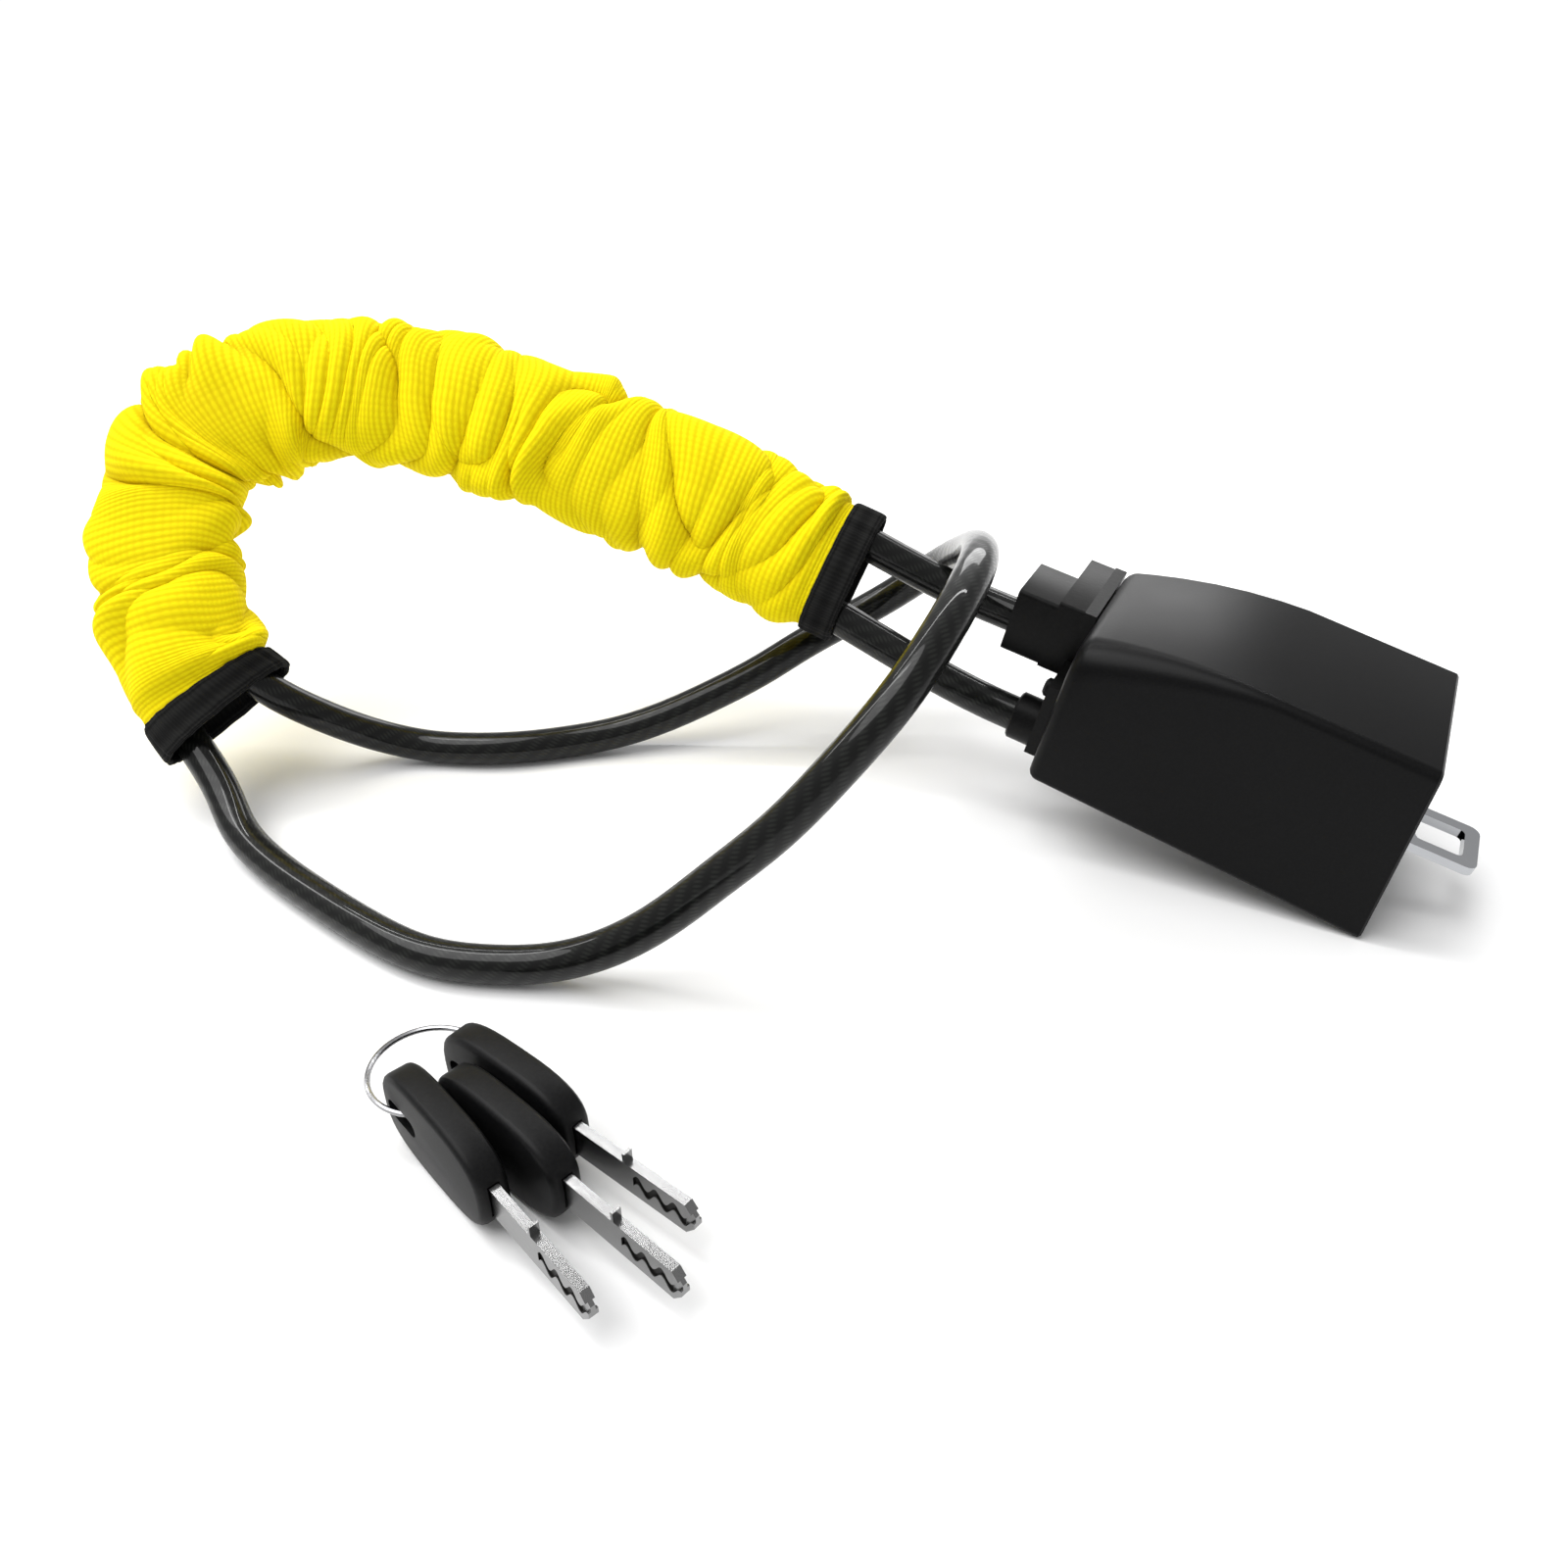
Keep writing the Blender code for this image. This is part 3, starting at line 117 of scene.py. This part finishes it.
# ---------------------------------------------------------------- curves
def smooth_curve(points, count):
    """Evenly spaced points on the natural cubic spline through the points: between two knots each coordinate is
    the cubic whose bends at the knots come from one linear system that makes slope and bend continuous."""
    knots = np.array(points, float)
    size = len(knots)
    step = np.linalg.norm(np.diff(knots, axis=0), axis=1)
    travel = np.concatenate([[0.0], np.cumsum(step)])
    system = np.zeros((size, size))
    rest = np.zeros((size, 3))
    system[0, 0] = system[-1, -1] = 1.0
    middle = np.arange(1, size - 1)
    system[middle, middle - 1] = step[:-1]
    system[middle, middle] = 2.0 * (step[:-1] + step[1:])
    system[middle, middle + 1] = step[1:]
    slope = np.diff(knots, axis=0) / step[:, None]
    rest[1:-1] = 6.0 * np.diff(slope, axis=0)
    bend = np.linalg.solve(system, rest)
    where = np.linspace(0.0, travel[-1], 60 * size)
    k = np.clip(np.searchsorted(travel, where, side="right") - 1, 0, size - 2)
    width = step[k][:, None]
    before = (travel[k + 1] - where)[:, None]
    after = (where - travel[k])[:, None]
    fine = ((bend[k] * before ** 3 + bend[k + 1] * after ** 3) / (6.0 * width)
            + (knots[k] / width - bend[k] * width / 6.0) * before
            + (knots[k + 1] / width - bend[k + 1] * width / 6.0) * after)
    length = np.concatenate([[0.0], np.cumsum(np.linalg.norm(np.diff(fine, axis=0), axis=1))])
    even = np.linspace(0.0, length[-1], count)
    return np.column_stack([np.interp(even, length, fine[:, c]) for c in range(3)]), length[-1]


def unit(vectors):
    """Each row of an array scaled to length one."""
    return vectors / np.linalg.norm(vectors, axis=-1, keepdims=True)


lock_matrix = Matrix.Translation(LOCK_PLACE) @ Euler((0.0, LOCK_PITCH, LOCK_YAW)).to_matrix().to_4x4()


def on_lock(x, y, z):
    """A point of the lock's own frame in world metres."""
    return tuple(lock_matrix @ Vector((x, y, z)))


SLEEVE_COUNT = 481
sleeve_line, sleeve_length = smooth_curve(SLEEVE_ROUTE, SLEEVE_COUNT)
sleeve_run = unit(np.gradient(sleeve_line, axis=0))
sleeve_side = unit(np.cross(sleeve_run, ARCH_LEAN))
sleeve_share = np.linspace(0.0, 1.0, SLEEVE_COUNT)
mouth_opening = np.clip((sleeve_share - HEM_TWIST_START) / (1.0 - HEM_TWIST_START), 0.0, 1.0) ** 2
twist = (HEM_TWIST * mouth_opening)[:, None]
sleeve_side = sleeve_side * np.cos(twist) + np.cross(sleeve_run, sleeve_side) * np.sin(twist)
sleeve_depth = np.cross(sleeve_run, sleeve_side)

inside = np.arange(20, SLEEVE_COUNT - 10, 40)
half_spread = 0.5 * STRAND_SPREAD
outer_strand = [tuple(p) for p in sleeve_line[inside] - half_spread * sleeve_side[inside]]
inner_strand = [tuple(p) for p in sleeve_line[inside] + half_spread * sleeve_side[inside]]
upper_exit = [on_lock(x, *STRAND_UPPER) for x in (CABLE_START, BLOCK_BACK, BLOCK_BACK - 0.016)]
lower_exit = [on_lock(x, *STRAND_LOWER) for x in (CABLE_START, BOSS_BACK - 0.008)]
cable_knots = upper_exit + outer_strand + CABLE_ROUTE + inner_strand[::-1] + lower_exit[::-1]
cable_path, cable_length = smooth_curve(cable_knots, 700)


# ---------------------------------------------------------------- meshes
def grid_piece(name, points, finish, loop_rows=False, loop_columns=True, caps=False, uv=None):
    """A surface through an array of points[row, column]: one four-sided face between neighbours, wrapped round in
    either direction where asked, with flat caps on the first and last rows.  uv gives the width of the whole wrap
    and the position of each row, both in metres."""
    rows, columns = points.shape[:2]
    i = np.arange(rows if loop_rows else rows - 1)[:, None]
    j = np.arange(columns if loop_columns else columns - 1)[None, :]
    k, m = (i + 1) % rows, (j + 1) % columns
    faces = np.stack([i * columns + j, i * columns + m, k * columns + m, k * columns + j], axis=-1).reshape(-1, 4)
    every_face = faces.tolist()
    if caps:
        every_face += [list(range(columns))[::-1], list(range((rows - 1) * columns, rows * columns))]
    mesh = bpy.data.meshes.new(name)
    mesh.from_pydata(points.reshape(-1, 3).tolist(), [], every_face)
    if uv is not None:
        width, along = uv
        along = np.append(along, along[-1] + (along[-1] - along[-2]))
        u = np.broadcast_to(width * np.stack([j, j + 1, j + 1, j], axis=-1) / columns, (i.size, j.size, 4))
        v = np.broadcast_to(np.stack([along[i], along[i], along[i + 1], along[i + 1]], axis=-1), (i.size, j.size, 4))
        flat = np.stack([u, v], axis=-1).reshape(-1, 2)
        layer = mesh.uv_layers.new(name="cloth")
        full = np.zeros((len(mesh.loops), 2))
        full[:len(flat)] = flat
        layer.data.foreach_set("uv", full.ravel())
    mesh.shade_smooth()
    mesh.materials.append(finish)
    piece = bpy.data.objects.new(name, mesh)
    bpy.context.scene.collection.objects.link(piece)
    return piece


def tube_points(path, radius, around, start_normal=(0.0, 0.0, 1.0)):
    """A circle carried along a path: its frame keeps the last ring's upward direction with the part along the path
    taken out, so that the tube doesn't twist."""
    run = unit(np.gradient(path, axis=0))
    normal = np.array(start_normal, float)
    frames = []
    for direction in run:
        normal = normal - direction * np.dot(normal, direction)
        normal /= np.linalg.norm(normal)
        frames.append(normal)
    frames = np.array(frames)
    other = np.cross(run, frames)
    angle = np.linspace(0.0, TURN, around, endpoint=False)[None, :, None]
    ring = np.cos(angle) * frames[:, None] + np.sin(angle) * other[:, None]
    return path[:, None] + np.reshape(radius, (-1, 1, 1)) * ring


# ---------------------------------------------------------------- finishes
class Wire:
    """A socket in a finish.  Arithmetic on it adds the Math nodes that work it out."""

    def __init__(self, finish, socket):
        self.finish = finish
        self.socket = socket

    def apply(self, operation, *terms):
        return self.finish.node("Math", {"operation": operation}, dict(enumerate((self,) + terms)))

    def __add__(self, other):
        return self.apply("ADD", other)

    def __radd__(self, other):
        return self.apply("ADD", other)

    def __sub__(self, other):
        return self.apply("SUBTRACT", other)

    def __rsub__(self, other):
        return self.apply("MULTIPLY", -1.0).apply("ADD", other)

    def __mul__(self, other):
        return self.apply("MULTIPLY", other)

    def __rmul__(self, other):
        return self.apply("MULTIPLY", other)

    def sin(self):
        return self.apply("SINE")

    def abs(self):
        return self.apply("ABSOLUTE")

    def above(self, level, soft):
        """0 below the level and 1 above it, with an even rise over the soft width."""
        return self.finish.node("MapRange", {}, {"Value": self, "From Min": level - soft, "From Max": level + soft})


class Finish:
    """A material on the Principled shader, built node by node."""

    def __init__(self, name, **fixed):
        self.material = bpy.data.materials.new(name)
        self.material.use_nodes = True
        self.tree = self.material.node_tree
        self.shader = self.tree.nodes["Principled BSDF"]
        for label, value in fixed.items():
            self.set(label.replace("_", " "), value)

    def node(self, kind, settings, inputs, out=0):
        """A node of the kind, its settings made first, then its sockets given values or links."""
        made = self.tree.nodes.new("ShaderNode" + kind)
        for label, value in settings.items():
            setattr(made, label, value)
        for label, value in inputs.items():
            if isinstance(value, Wire):
                self.tree.links.new(value.socket, made.inputs[label])
            else:
                made.inputs[label].default_value = value
        return Wire(self, made.outputs[out])

    def set(self, label, value):
        """Give one socket of the shader a value or a link."""
        if isinstance(value, Wire):
            self.tree.links.new(value.socket, self.shader.inputs[label])
        elif isinstance(value, tuple):
            self.shader.inputs[label].default_value = (*value, 1.0)
        else:
            self.shader.inputs[label].default_value = value

    def where(self, turn=0.0, centre=(0.0, 0.0, 0.0)):
        """Object coordinates, moved to a centre and turned about the vertical."""
        plain = self.node("TexCoord", {}, {}, "Object")
        if not turn and not any(centre):
            return plain
        cosine, sine = math.cos(-turn), math.sin(-turn)
        shift = (-(cosine * centre[0] - sine * centre[1]), -(sine * centre[0] + cosine * centre[1]), -centre[2])
        return self.node("Mapping", {}, {"Vector": plain, "Rotation": (0.0, 0.0, -turn), "Location": shift})

    def cloth(self):
        """The piece's own cloth coordinates, in metres."""
        return self.node("UVMap", {"uv_map": "cloth"}, {})

    def parts(self, vector):
        """The three numbers of a vector."""
        split = self.node("SeparateXYZ", {}, {0: vector}).socket.node
        return [Wire(self, split.outputs[c]) for c in range(3)]

    def noise(self, vector, scale, detail=3.0, roughness=0.5):
        return self.node("TexNoise", {}, {"Vector": vector, "Scale": scale, "Detail": detail, "Roughness": roughness})

    def blend(self, share, low, high):
        """A colour between two, by the share."""
        pair = [c if isinstance(c, Wire) else (*c, 1.0) for c in (low, high)]
        return self.node("Mix", {"data_type": "RGBA"}, {0: share, 6: pair[0], 7: pair[1]}, 2)

    def bump(self, height, depth, strength=1.0):
        """Relief of the given depth in metres on the shader's normal."""
        self.set("Normal", self.node("Bump", {}, {"Height": height, "Distance": depth, "Strength": strength}))


def moulded(name, colour, lit, roughness, grain_scale, depth, shine):
    """Moulded black plastic: a fine spark-eroded grain, a slow change of gloss and slightly paler high spots."""
    made = Finish(name, Metallic=0.0, IOR=1.46, Specular_IOR_Level=shine)
    place = made.where()
    grain = made.noise(place, grain_scale, 4.0, 0.6)
    slow = made.noise(place, 38.0, 2.0)
    made.set("Base Color", made.blend(grain.above(0.56, 0.16), colour, lit))
    made.set("Roughness", roughness + 0.10 * (slow - 0.5) + 0.08 * (grain - 0.5))
    made.bump(grain, depth, 0.55)
    return made.material


def polished(name, colour, roughness, haze):
    """Bright metal: nearly even, with a faint haze and hairline scratches in one direction."""
    made = Finish(name, Metallic=1.0)
    place = made.where()
    slow = made.noise(place, 60.0, 3.0)
    stretched = made.node("Mapping", {}, {"Vector": place, "Scale": (160.0, 2200.0, 2200.0)})
    hair = made.noise(stretched, 1.0, 2.0)
    made.set("Base Color", made.blend(slow, tuple(0.9 * c for c in colour), colour))
    made.set("Roughness", roughness + haze * (slow - 0.5) + haze * (hair - 0.5))
    made.bump(hair, 0.000004, 0.4)
    return made.material


def woven_yellow():
    """Tube cloth: ribs across the tube, each a row of small floats, with deeper yellow between them, and painted shade,
    a dark yellow, in the folds' valleys, which a per-point attribute of the piece marks."""
    made = Finish("yellow_fabric", Metallic=0.0, Specular_IOR_Level=0.08)
    u, v, _ = made.parts(made.cloth())
    wander = made.noise(made.where(), 55.0, 3.0)
    rib = 0.5 + 0.5 * (v * (TURN / RIB_PITCH) + 1.6 * wander).sin()
    dot = 0.5 + 0.5 * (u * (TURN / FLOAT_PITCH) + 2.0 * wander).sin()
    thread = made.noise(made.where(), 2600.0, 2.0)
    lift = 0.46 * rib + 0.34 * rib * dot + 0.06 * dot + 0.20 * thread
    soil = made.noise(made.where(), 26.0, 4.0)
    worn = made.blend(soil.above(0.5, 0.3), (0.85, 0.69, 0.003), (0.91, 0.79, 0.005))
    ribbed = made.blend(lift.above(0.30, 0.34), (0.68, 0.50, 0.001), worn)
    # Painted shade: a per-point attribute that is low in the folds' valleys pulls the colour there to a dark yellow.
    fold_shade = made.node("Attribute", {"attribute_name": "fold_shade"}, {}, "Fac")
    made.set("Base Color", made.blend(fold_shade, (0.44, 0.29, 0.001), ribbed))
    made.set("Roughness", 0.92 - 0.10 * rib)
    made.bump(lift, 0.00030, 0.6)
    return made.material


def webbing():
    """Black binding tape: fine ribs along the tube's run with a slight nap."""
    made = Finish("black_webbing", Metallic=0.0, Specular_IOR_Level=0.15)
    u, v, _ = made.parts(made.cloth())
    rib = 0.5 + 0.5 * (u * (TURN / TAPE_RIB_PITCH)).sin()
    pick = 0.5 + 0.5 * (v * (TURN / TAPE_PICK_PITCH)).sin()
    nap = made.noise(made.where(), 1800.0, 3.0)
    lift = 0.55 * rib + 0.30 * pick + 0.25 * nap
    made.set("Base Color", made.blend(lift.above(0.6, 0.3), (0.003, 0.003, 0.003), (0.012, 0.012, 0.0115)))
    made.set("Roughness", 0.80 + 0.15 * nap)
    made.bump(lift, 0.00030, 0.7)
    return made.material


def jacketed_cable():
    """Clear smoked jacket over laid wire: pale and dark slanted strands below a smooth glossy coat."""
    made = Finish("cable_jacket", Coat_Weight=0.6, Coat_Roughness=0.05, Coat_IOR=1.38, Specular_IOR_Level=0.1)
    u, v, _ = made.parts(made.cloth())
    lay = (u * (TURN * STRANDS_ROUND / CABLE_GIRTH) + v * (TURN / STRAND_PITCH)).sin()
    wire = (u * (TURN * WIRES_ROUND / CABLE_GIRTH) - v * (TURN / WIRE_PITCH)).sin()
    glint = (0.5 + 0.5 * lay) * (0.55 + 0.45 * wire)
    cloudy = made.noise(made.where(), 120.0, 3.0)
    shade = (glint * (0.55 + 0.7 * cloudy)).above(0.42, 0.30)
    made.set("Base Color", made.blend(shade, (0.0010, 0.0012, 0.0010), (0.011, 0.012, 0.0105)))
    made.set("Roughness", 0.46 - 0.16 * glint)
    made.set("Metallic", 0.15 * shade)
    return made.material


def key_steel(name, centre, turn):
    """Drawn steel blade whose wave groove is painted dark, as painted shade: a point is in the groove when it lies
    deeper than the flat faces but away from the blade's edges and tip."""
    made = Finish(name)
    along, across, up = made.parts(made.where(turn, centre))
    depth = 1.0 - across.abs().above(0.00104, 0.00006)
    clear_of_edge = 1.0 - up.abs().above(0.00385, 0.00015)
    clear_of_tip = 1.0 - along.above(KEY_LENGTH - BLADE_TIP - 0.0003, 0.0002)
    groove_painted_shade = depth * clear_of_edge * clear_of_tip
    streak = made.noise(made.node("Mapping", {}, {"Vector": made.where(turn, centre),
                                                  "Scale": (120.0, 2500.0, 2500.0)}), 1.0, 3.0)
    # Painted shade in the groove: its faces are coloured near black, with less metal and more roughness.
    made.set("Base Color", made.blend(groove_painted_shade, (0.24, 0.24, 0.24), (0.010, 0.009, 0.008)))
    made.set("Metallic", 1.0 - 0.6 * groove_painted_shade)
    made.set("Roughness", 0.24 + 0.14 * (streak - 0.5) + 0.35 * groove_painted_shade)
    made.bump(streak, 0.00001, 0.5)
    return made.material


hood_finish = moulded("hood_plastic", (0.0026, 0.0026, 0.0028), (0.0045, 0.0045, 0.0048), 0.36, 1500.0, 0.00003, 0.12)
casting_finish = moulded("black_casting", (0.0024, 0.0024, 0.0024), (0.005, 0.005, 0.005), 0.34, 900.0, 0.00005, 0.14)
key_finish = moulded("key_plastic", (0.004, 0.004, 0.0043), (0.007, 0.007, 0.0073), 0.44, 1200.0, 0.00004, 0.16)
chrome_finish = polished("chrome", (0.50, 0.51, 0.53), 0.12, 0.05)
steel_finish = polished("steel", (0.34, 0.34, 0.35), 0.27, 0.12)
brass_finish = polished("brass", (0.62, 0.47, 0.20), 0.30, 0.12)
yellow_finish = woven_yellow()
webbing_finish = webbing()
cable_finish = jacketed_cable()

node_finishes = {
    "hood_shell": hood_finish, "bolt_guide": casting_finish, "carriage": casting_finish,
    "cable_anchor": casting_finish, "belt_tongue": chrome_finish, "cylinder_housing": chrome_finish,
    "cylinder_nut": brass_finish, "lock_plug": brass_finish, "wafer_1": brass_finish, "wafer_2": brass_finish,
    "wafer_3": brass_finish, "wafer_4": brass_finish, "cam": steel_finish, "cam_screw": steel_finish,
    "deadbolt": steel_finish, "tongue_rivet_near": steel_finish, "tongue_rivet_far": steel_finish,
    "anchor_screw_near": casting_finish, "anchor_screw_far": casting_finish, "cable_ferrule_upper": steel_finish,
    "cable_ferrule_lower": steel_finish, "key_ring": steel_finish,
}
for key, (key_x, key_y, heading) in KEYS.items():
    node_finishes["key_head_" + key] = key_finish
    node_finishes["key_blade_" + key] = key_steel("key_steel_" + key, (key_x, key_y, KEY_HEIGHT), math.radians(heading))
for name, finish in node_finishes.items():
    materials = nodes[name].data.materials
    if not len(materials):
        materials.append(finish)
    for k in range(len(materials)):
        materials[k] = finish


def shading_group(name, join, sharp):
    """A node group that joins corners closer than join, shades every face smoothly and keeps an edge sharp where
    its two faces meet at more than the sharp angle."""
    group = bpy.data.node_groups.new(name, "GeometryNodeTree")
    group.interface.new_socket("Geometry", in_out="INPUT", socket_type="NodeSocketGeometry")
    group.interface.new_socket("Geometry", in_out="OUTPUT", socket_type="NodeSocketGeometry")
    chain = [group.nodes.new(kind) for kind in (
        "NodeGroupInput", "GeometryNodeMergeByDistance", "GeometryNodeSetMeshNormal", "GeometryNodeSetShadeSmooth",
        "GeometryNodeSetShadeSmooth", "NodeGroupOutput")]
    for before, after in zip(chain, chain[1:]):
        group.links.new(before.outputs[0], after.inputs[0])
    chain[1].inputs["Distance"].default_value = join
    chain[4].domain = "EDGE"
    chain[4].inputs["Shade Smooth"].default_value = False
    angle = group.nodes.new("GeometryNodeInputMeshEdgeAngle")
    wide = group.nodes.new("FunctionNodeCompare")
    wide.inputs["B"].default_value = sharp
    group.links.new(angle.outputs["Unsigned Angle"], wide.inputs["A"])
    group.links.new(wide.outputs["Result"], chain[4].inputs["Selection"])
    return group


fine_shading = shading_group("fine_shading", 0.00001, math.radians(31.0))
for name in node_finishes:
    nodes[name].modifiers.new("fine_shading", "NODES").node_group = fine_shading

# ---------------------------------------------------------------- cable
cable_s = np.linspace(0.0, cable_length, len(cable_path))
jacket = grid_piece("cable_with_jacket", tube_points(cable_path, 0.5 * CABLE_DIAMETER, 28), cable_finish,
                    caps=True, uv=(CABLE_GIRTH, cable_s))
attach(jacket, "lock_body")
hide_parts("cable")

# ---------------------------------------------------------------- sleeve
INNER_WIDE = half_spread + 0.5 * CABLE_DIAMETER + SLEEVE_ROOM
INNER_DEEP = 0.5 * CABLE_DIAMETER + SLEEVE_SWELL


def on_sleeve(share, angle, stand):
    """Points on the flat oval that is carried along the arch: half widths raised by stand, corners filled by a
    power of 0.8 on cosine and sine, and the oval's axes read from the arch's frames at each share of its length."""
    centre, side, depth = (np.stack([np.interp(share, sleeve_share, a[:, c]) for c in range(3)], axis=-1)
                           for a in (sleeve_line, sleeve_side, sleeve_depth))
    opening = np.interp(share, sleeve_share, mouth_opening)
    cosine, sine = np.cos(angle), np.sin(angle)
    wide = np.sign(cosine) * np.abs(cosine) ** 0.8 * (INNER_WIDE + HEM_FLARE * opening + stand)
    deep = np.sign(sine) * np.abs(sine) ** 0.8 * (INNER_DEEP + stand)
    return centre + wide[..., None] * side + deep[..., None] * depth


chance = np.random.default_rng(11)


def slow_waves(share, angle, count, fastest, widest):
    """A sum of cosines with random phases, whole turns round the tube and up to the fastest number along it."""
    total = np.zeros(np.broadcast(share, angle).shape)
    for k in range(count):
        along = chance.uniform(0.25, 1.0) * fastest
        around = chance.integers(-widest, widest + 1)
        total += np.cos(TURN * along * share + around * angle + chance.uniform(0.0, TURN))
    return total / math.sqrt(0.5 * count)


def folds(share, angle):
    """Height of the scrunched folds.  Each family is the absolute sine of a phase that runs along the tube, leans
    round it and wanders with slow waves, so its ridges are round and its creases sharp; its strength also wanders.
    Folds are closer and stronger in the tight bend, and die out under the hems."""
    bend = np.exp(-((share - 0.66) / 0.16) ** 2)
    reach = share + 0.045 * np.tanh((share - 0.66) / 0.10)
    height = np.zeros(np.broadcast(share, angle).shape)
    for pitch, lean, strength in ((11.0, 1.0, 0.0036), (17.0, -1.0, 0.0028), (31.0, 1.0, 0.0013)):
        phase = 0.5 * TURN * pitch * reach + 0.9 * lean * np.sin(angle + 1.1 * pitch * share)
        phase = phase + 0.95 * slow_waves(share, angle, 7, 8.0, 2)
        ridge = np.abs(np.sin(phase)) ** 0.75
        local = np.clip(0.62 + 0.42 * slow_waves(share, angle, 6, 8.0, 2), 0.05, 1.5)
        height = height + strength * (1.0 + 0.5 * bend) * local * (ridge - 0.45)
    ends = np.clip(np.minimum(share, 1.0 - share) / 0.045 - 0.35, 0.0, 1.0)
    return height * ends * ends * (3.0 - 2.0 * ends)


rows, around = 560, 160
share = np.linspace(0.020, 0.980, rows)[:, None]
angle = np.linspace(0.0, TURN, around, endpoint=False)[None, :]
height = folds(share, angle)
lean = 0.0025 * slow_waves(share, angle, 6, 12.0, 2) / sleeve_length
shifted = np.clip(share + lean * (np.minimum(share, 1.0 - share) * 12.0).clip(0.0, 1.0), 0.0, 1.0)
past_hem = np.clip((np.minimum(share, 1.0 - share) * sleeve_length - HEM_WIDTH) / 0.006, 0.0, 1.0)
settle = past_hem * past_hem * (3.0 - 2.0 * past_hem)
sleeve_points = on_sleeve(shifted, np.broadcast_to(angle, height.shape), 0.0002 + (0.0012 + height) * settle)
sleeve = grid_piece("scrunched_sleeve", sleeve_points[:, ::-1], yellow_finish,
                    uv=(SLEEVE_GIRTH, share[:, 0] * sleeve_length * CLOTH_GATHER))
# Painted shade for the folds' valleys: 1 on the ridges, falling towards 0 in the deepest creases, where the cloth's
# colour is darkened.
fold_shade_mask = np.clip(0.5 + (height + 0.0012) / 0.0040, 0.0, 1.0) ** 0.8
sleeve.data.attributes.new("fold_shade", "FLOAT", "POINT").data.foreach_set("value", fold_shade_mask[:, ::-1].ravel())
wall = sleeve.modifiers.new("cloth_thickness", "SOLIDIFY")
wall.thickness = 0.0009
wall.offset = -1.0
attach(sleeve, "lock_body")
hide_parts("sleeve")


def hem(name, middle, node):
    """Binding at one mouth of the sleeve: a rounded strip section carried round the oval.  The section's long way
    follows the arch and its short way the wall's thickness, and small waves round the mouth pucker it."""
    turn = np.linspace(0.0, TURN, 200, endpoint=False)[:, None]
    section = np.linspace(0.0, TURN, 28, endpoint=False)[None, :]
    cosine, sine = np.cos(section), np.sin(section)
    along = middle + 0.5 * HEM_WIDTH / sleeve_length * np.sign(cosine) * np.abs(cosine) ** 0.35
    pucker = 0.00022 * np.sin(17.0 * turn + 0.7) + 0.00016 * np.sin(29.0 * turn)
    stand = 0.0011 + pucker + 0.0011 * np.sign(sine) * np.abs(sine) ** 0.55
    shape = np.broadcast(turn, section).shape
    points = on_sleeve(np.broadcast_to(along, shape), np.broadcast_to(turn, shape), np.broadcast_to(stand, shape))
    piece = grid_piece(name, points, webbing_finish, loop_rows=True,
                       uv=(TAPE_GIRTH, np.linspace(0.0, SLEEVE_GIRTH, len(turn))))
    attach(piece, "lock_body")
    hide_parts(node)
    return piece


hem_share = 0.5 * HEM_WIDTH / sleeve_length
near_hem = hem("lock_end_hem", hem_share, "sleeve_hem_lock_end")
far_hem = hem("loop_end_hem", 1.0 - hem_share, "sleeve_hem_loop_end")

# ---------------------------------------------------------------- floor and lights
floor_finish = Finish("floor_paper", Roughness=0.9)
tint = floor_finish.noise(floor_finish.where(), 3.0, 2.0)
floor_finish.set("Base Color", floor_finish.blend(tint, (0.86, 0.86, 0.86), (0.88, 0.88, 0.88)))
floor_size = 14.0
corners = np.array([[[-1, -1, 0], [1, -1, 0]], [[-1, 1, 0], [1, 1, 0]]], float) * floor_size
floor_piece = grid_piece("floor", corners, floor_finish.material, loop_columns=False)

world = bpy.data.worlds.new("studio")
world.use_nodes = True
world.node_tree.nodes["Background"].inputs["Color"].default_value = (1.0, 1.0, 1.0, 1.0)
world.node_tree.nodes["Background"].inputs["Strength"].default_value = 0.52
bpy.context.scene.world = world
bpy.context.scene.view_settings.view_transform = "Standard"


def soft_light(name, place, aim, size, power):
    """A rectangular soft light that faces a point."""
    data = bpy.data.lights.new(name, "AREA")
    data.shape = "RECTANGLE"
    data.size, data.size_y = size
    data.energy = power
    light = bpy.data.objects.new(name, data)
    light.location = place
    light.rotation_euler = (Vector(aim) - Vector(place)).to_track_quat("-Z", "Y").to_euler()
    bpy.context.scene.collection.objects.link(light)


sky_data = bpy.data.lights.new("overhead", "SUN")
sky_data.energy = 2.35
sky_data.angle = math.radians(50.0)
sky = bpy.data.objects.new("overhead", sky_data)
sky.rotation_euler = (math.radians(4.0), math.radians(-24.0), 0.0)
bpy.context.scene.collection.objects.link(sky)
soft_light("left_strip", (-0.55, 0.25, 0.75), (0.0, 0.03, 0.0), (0.08, 0.8), 2.2)
soft_light("top_strip", (0.0, 0.50, 0.75), (-0.02, 0.0, 0.0), (1.2, 0.03), 2.6)
soft_light("back_panel", (0.24, 0.95, 0.42), (0.09, 0.06, 0.06), (0.60, 0.30), 2.6)
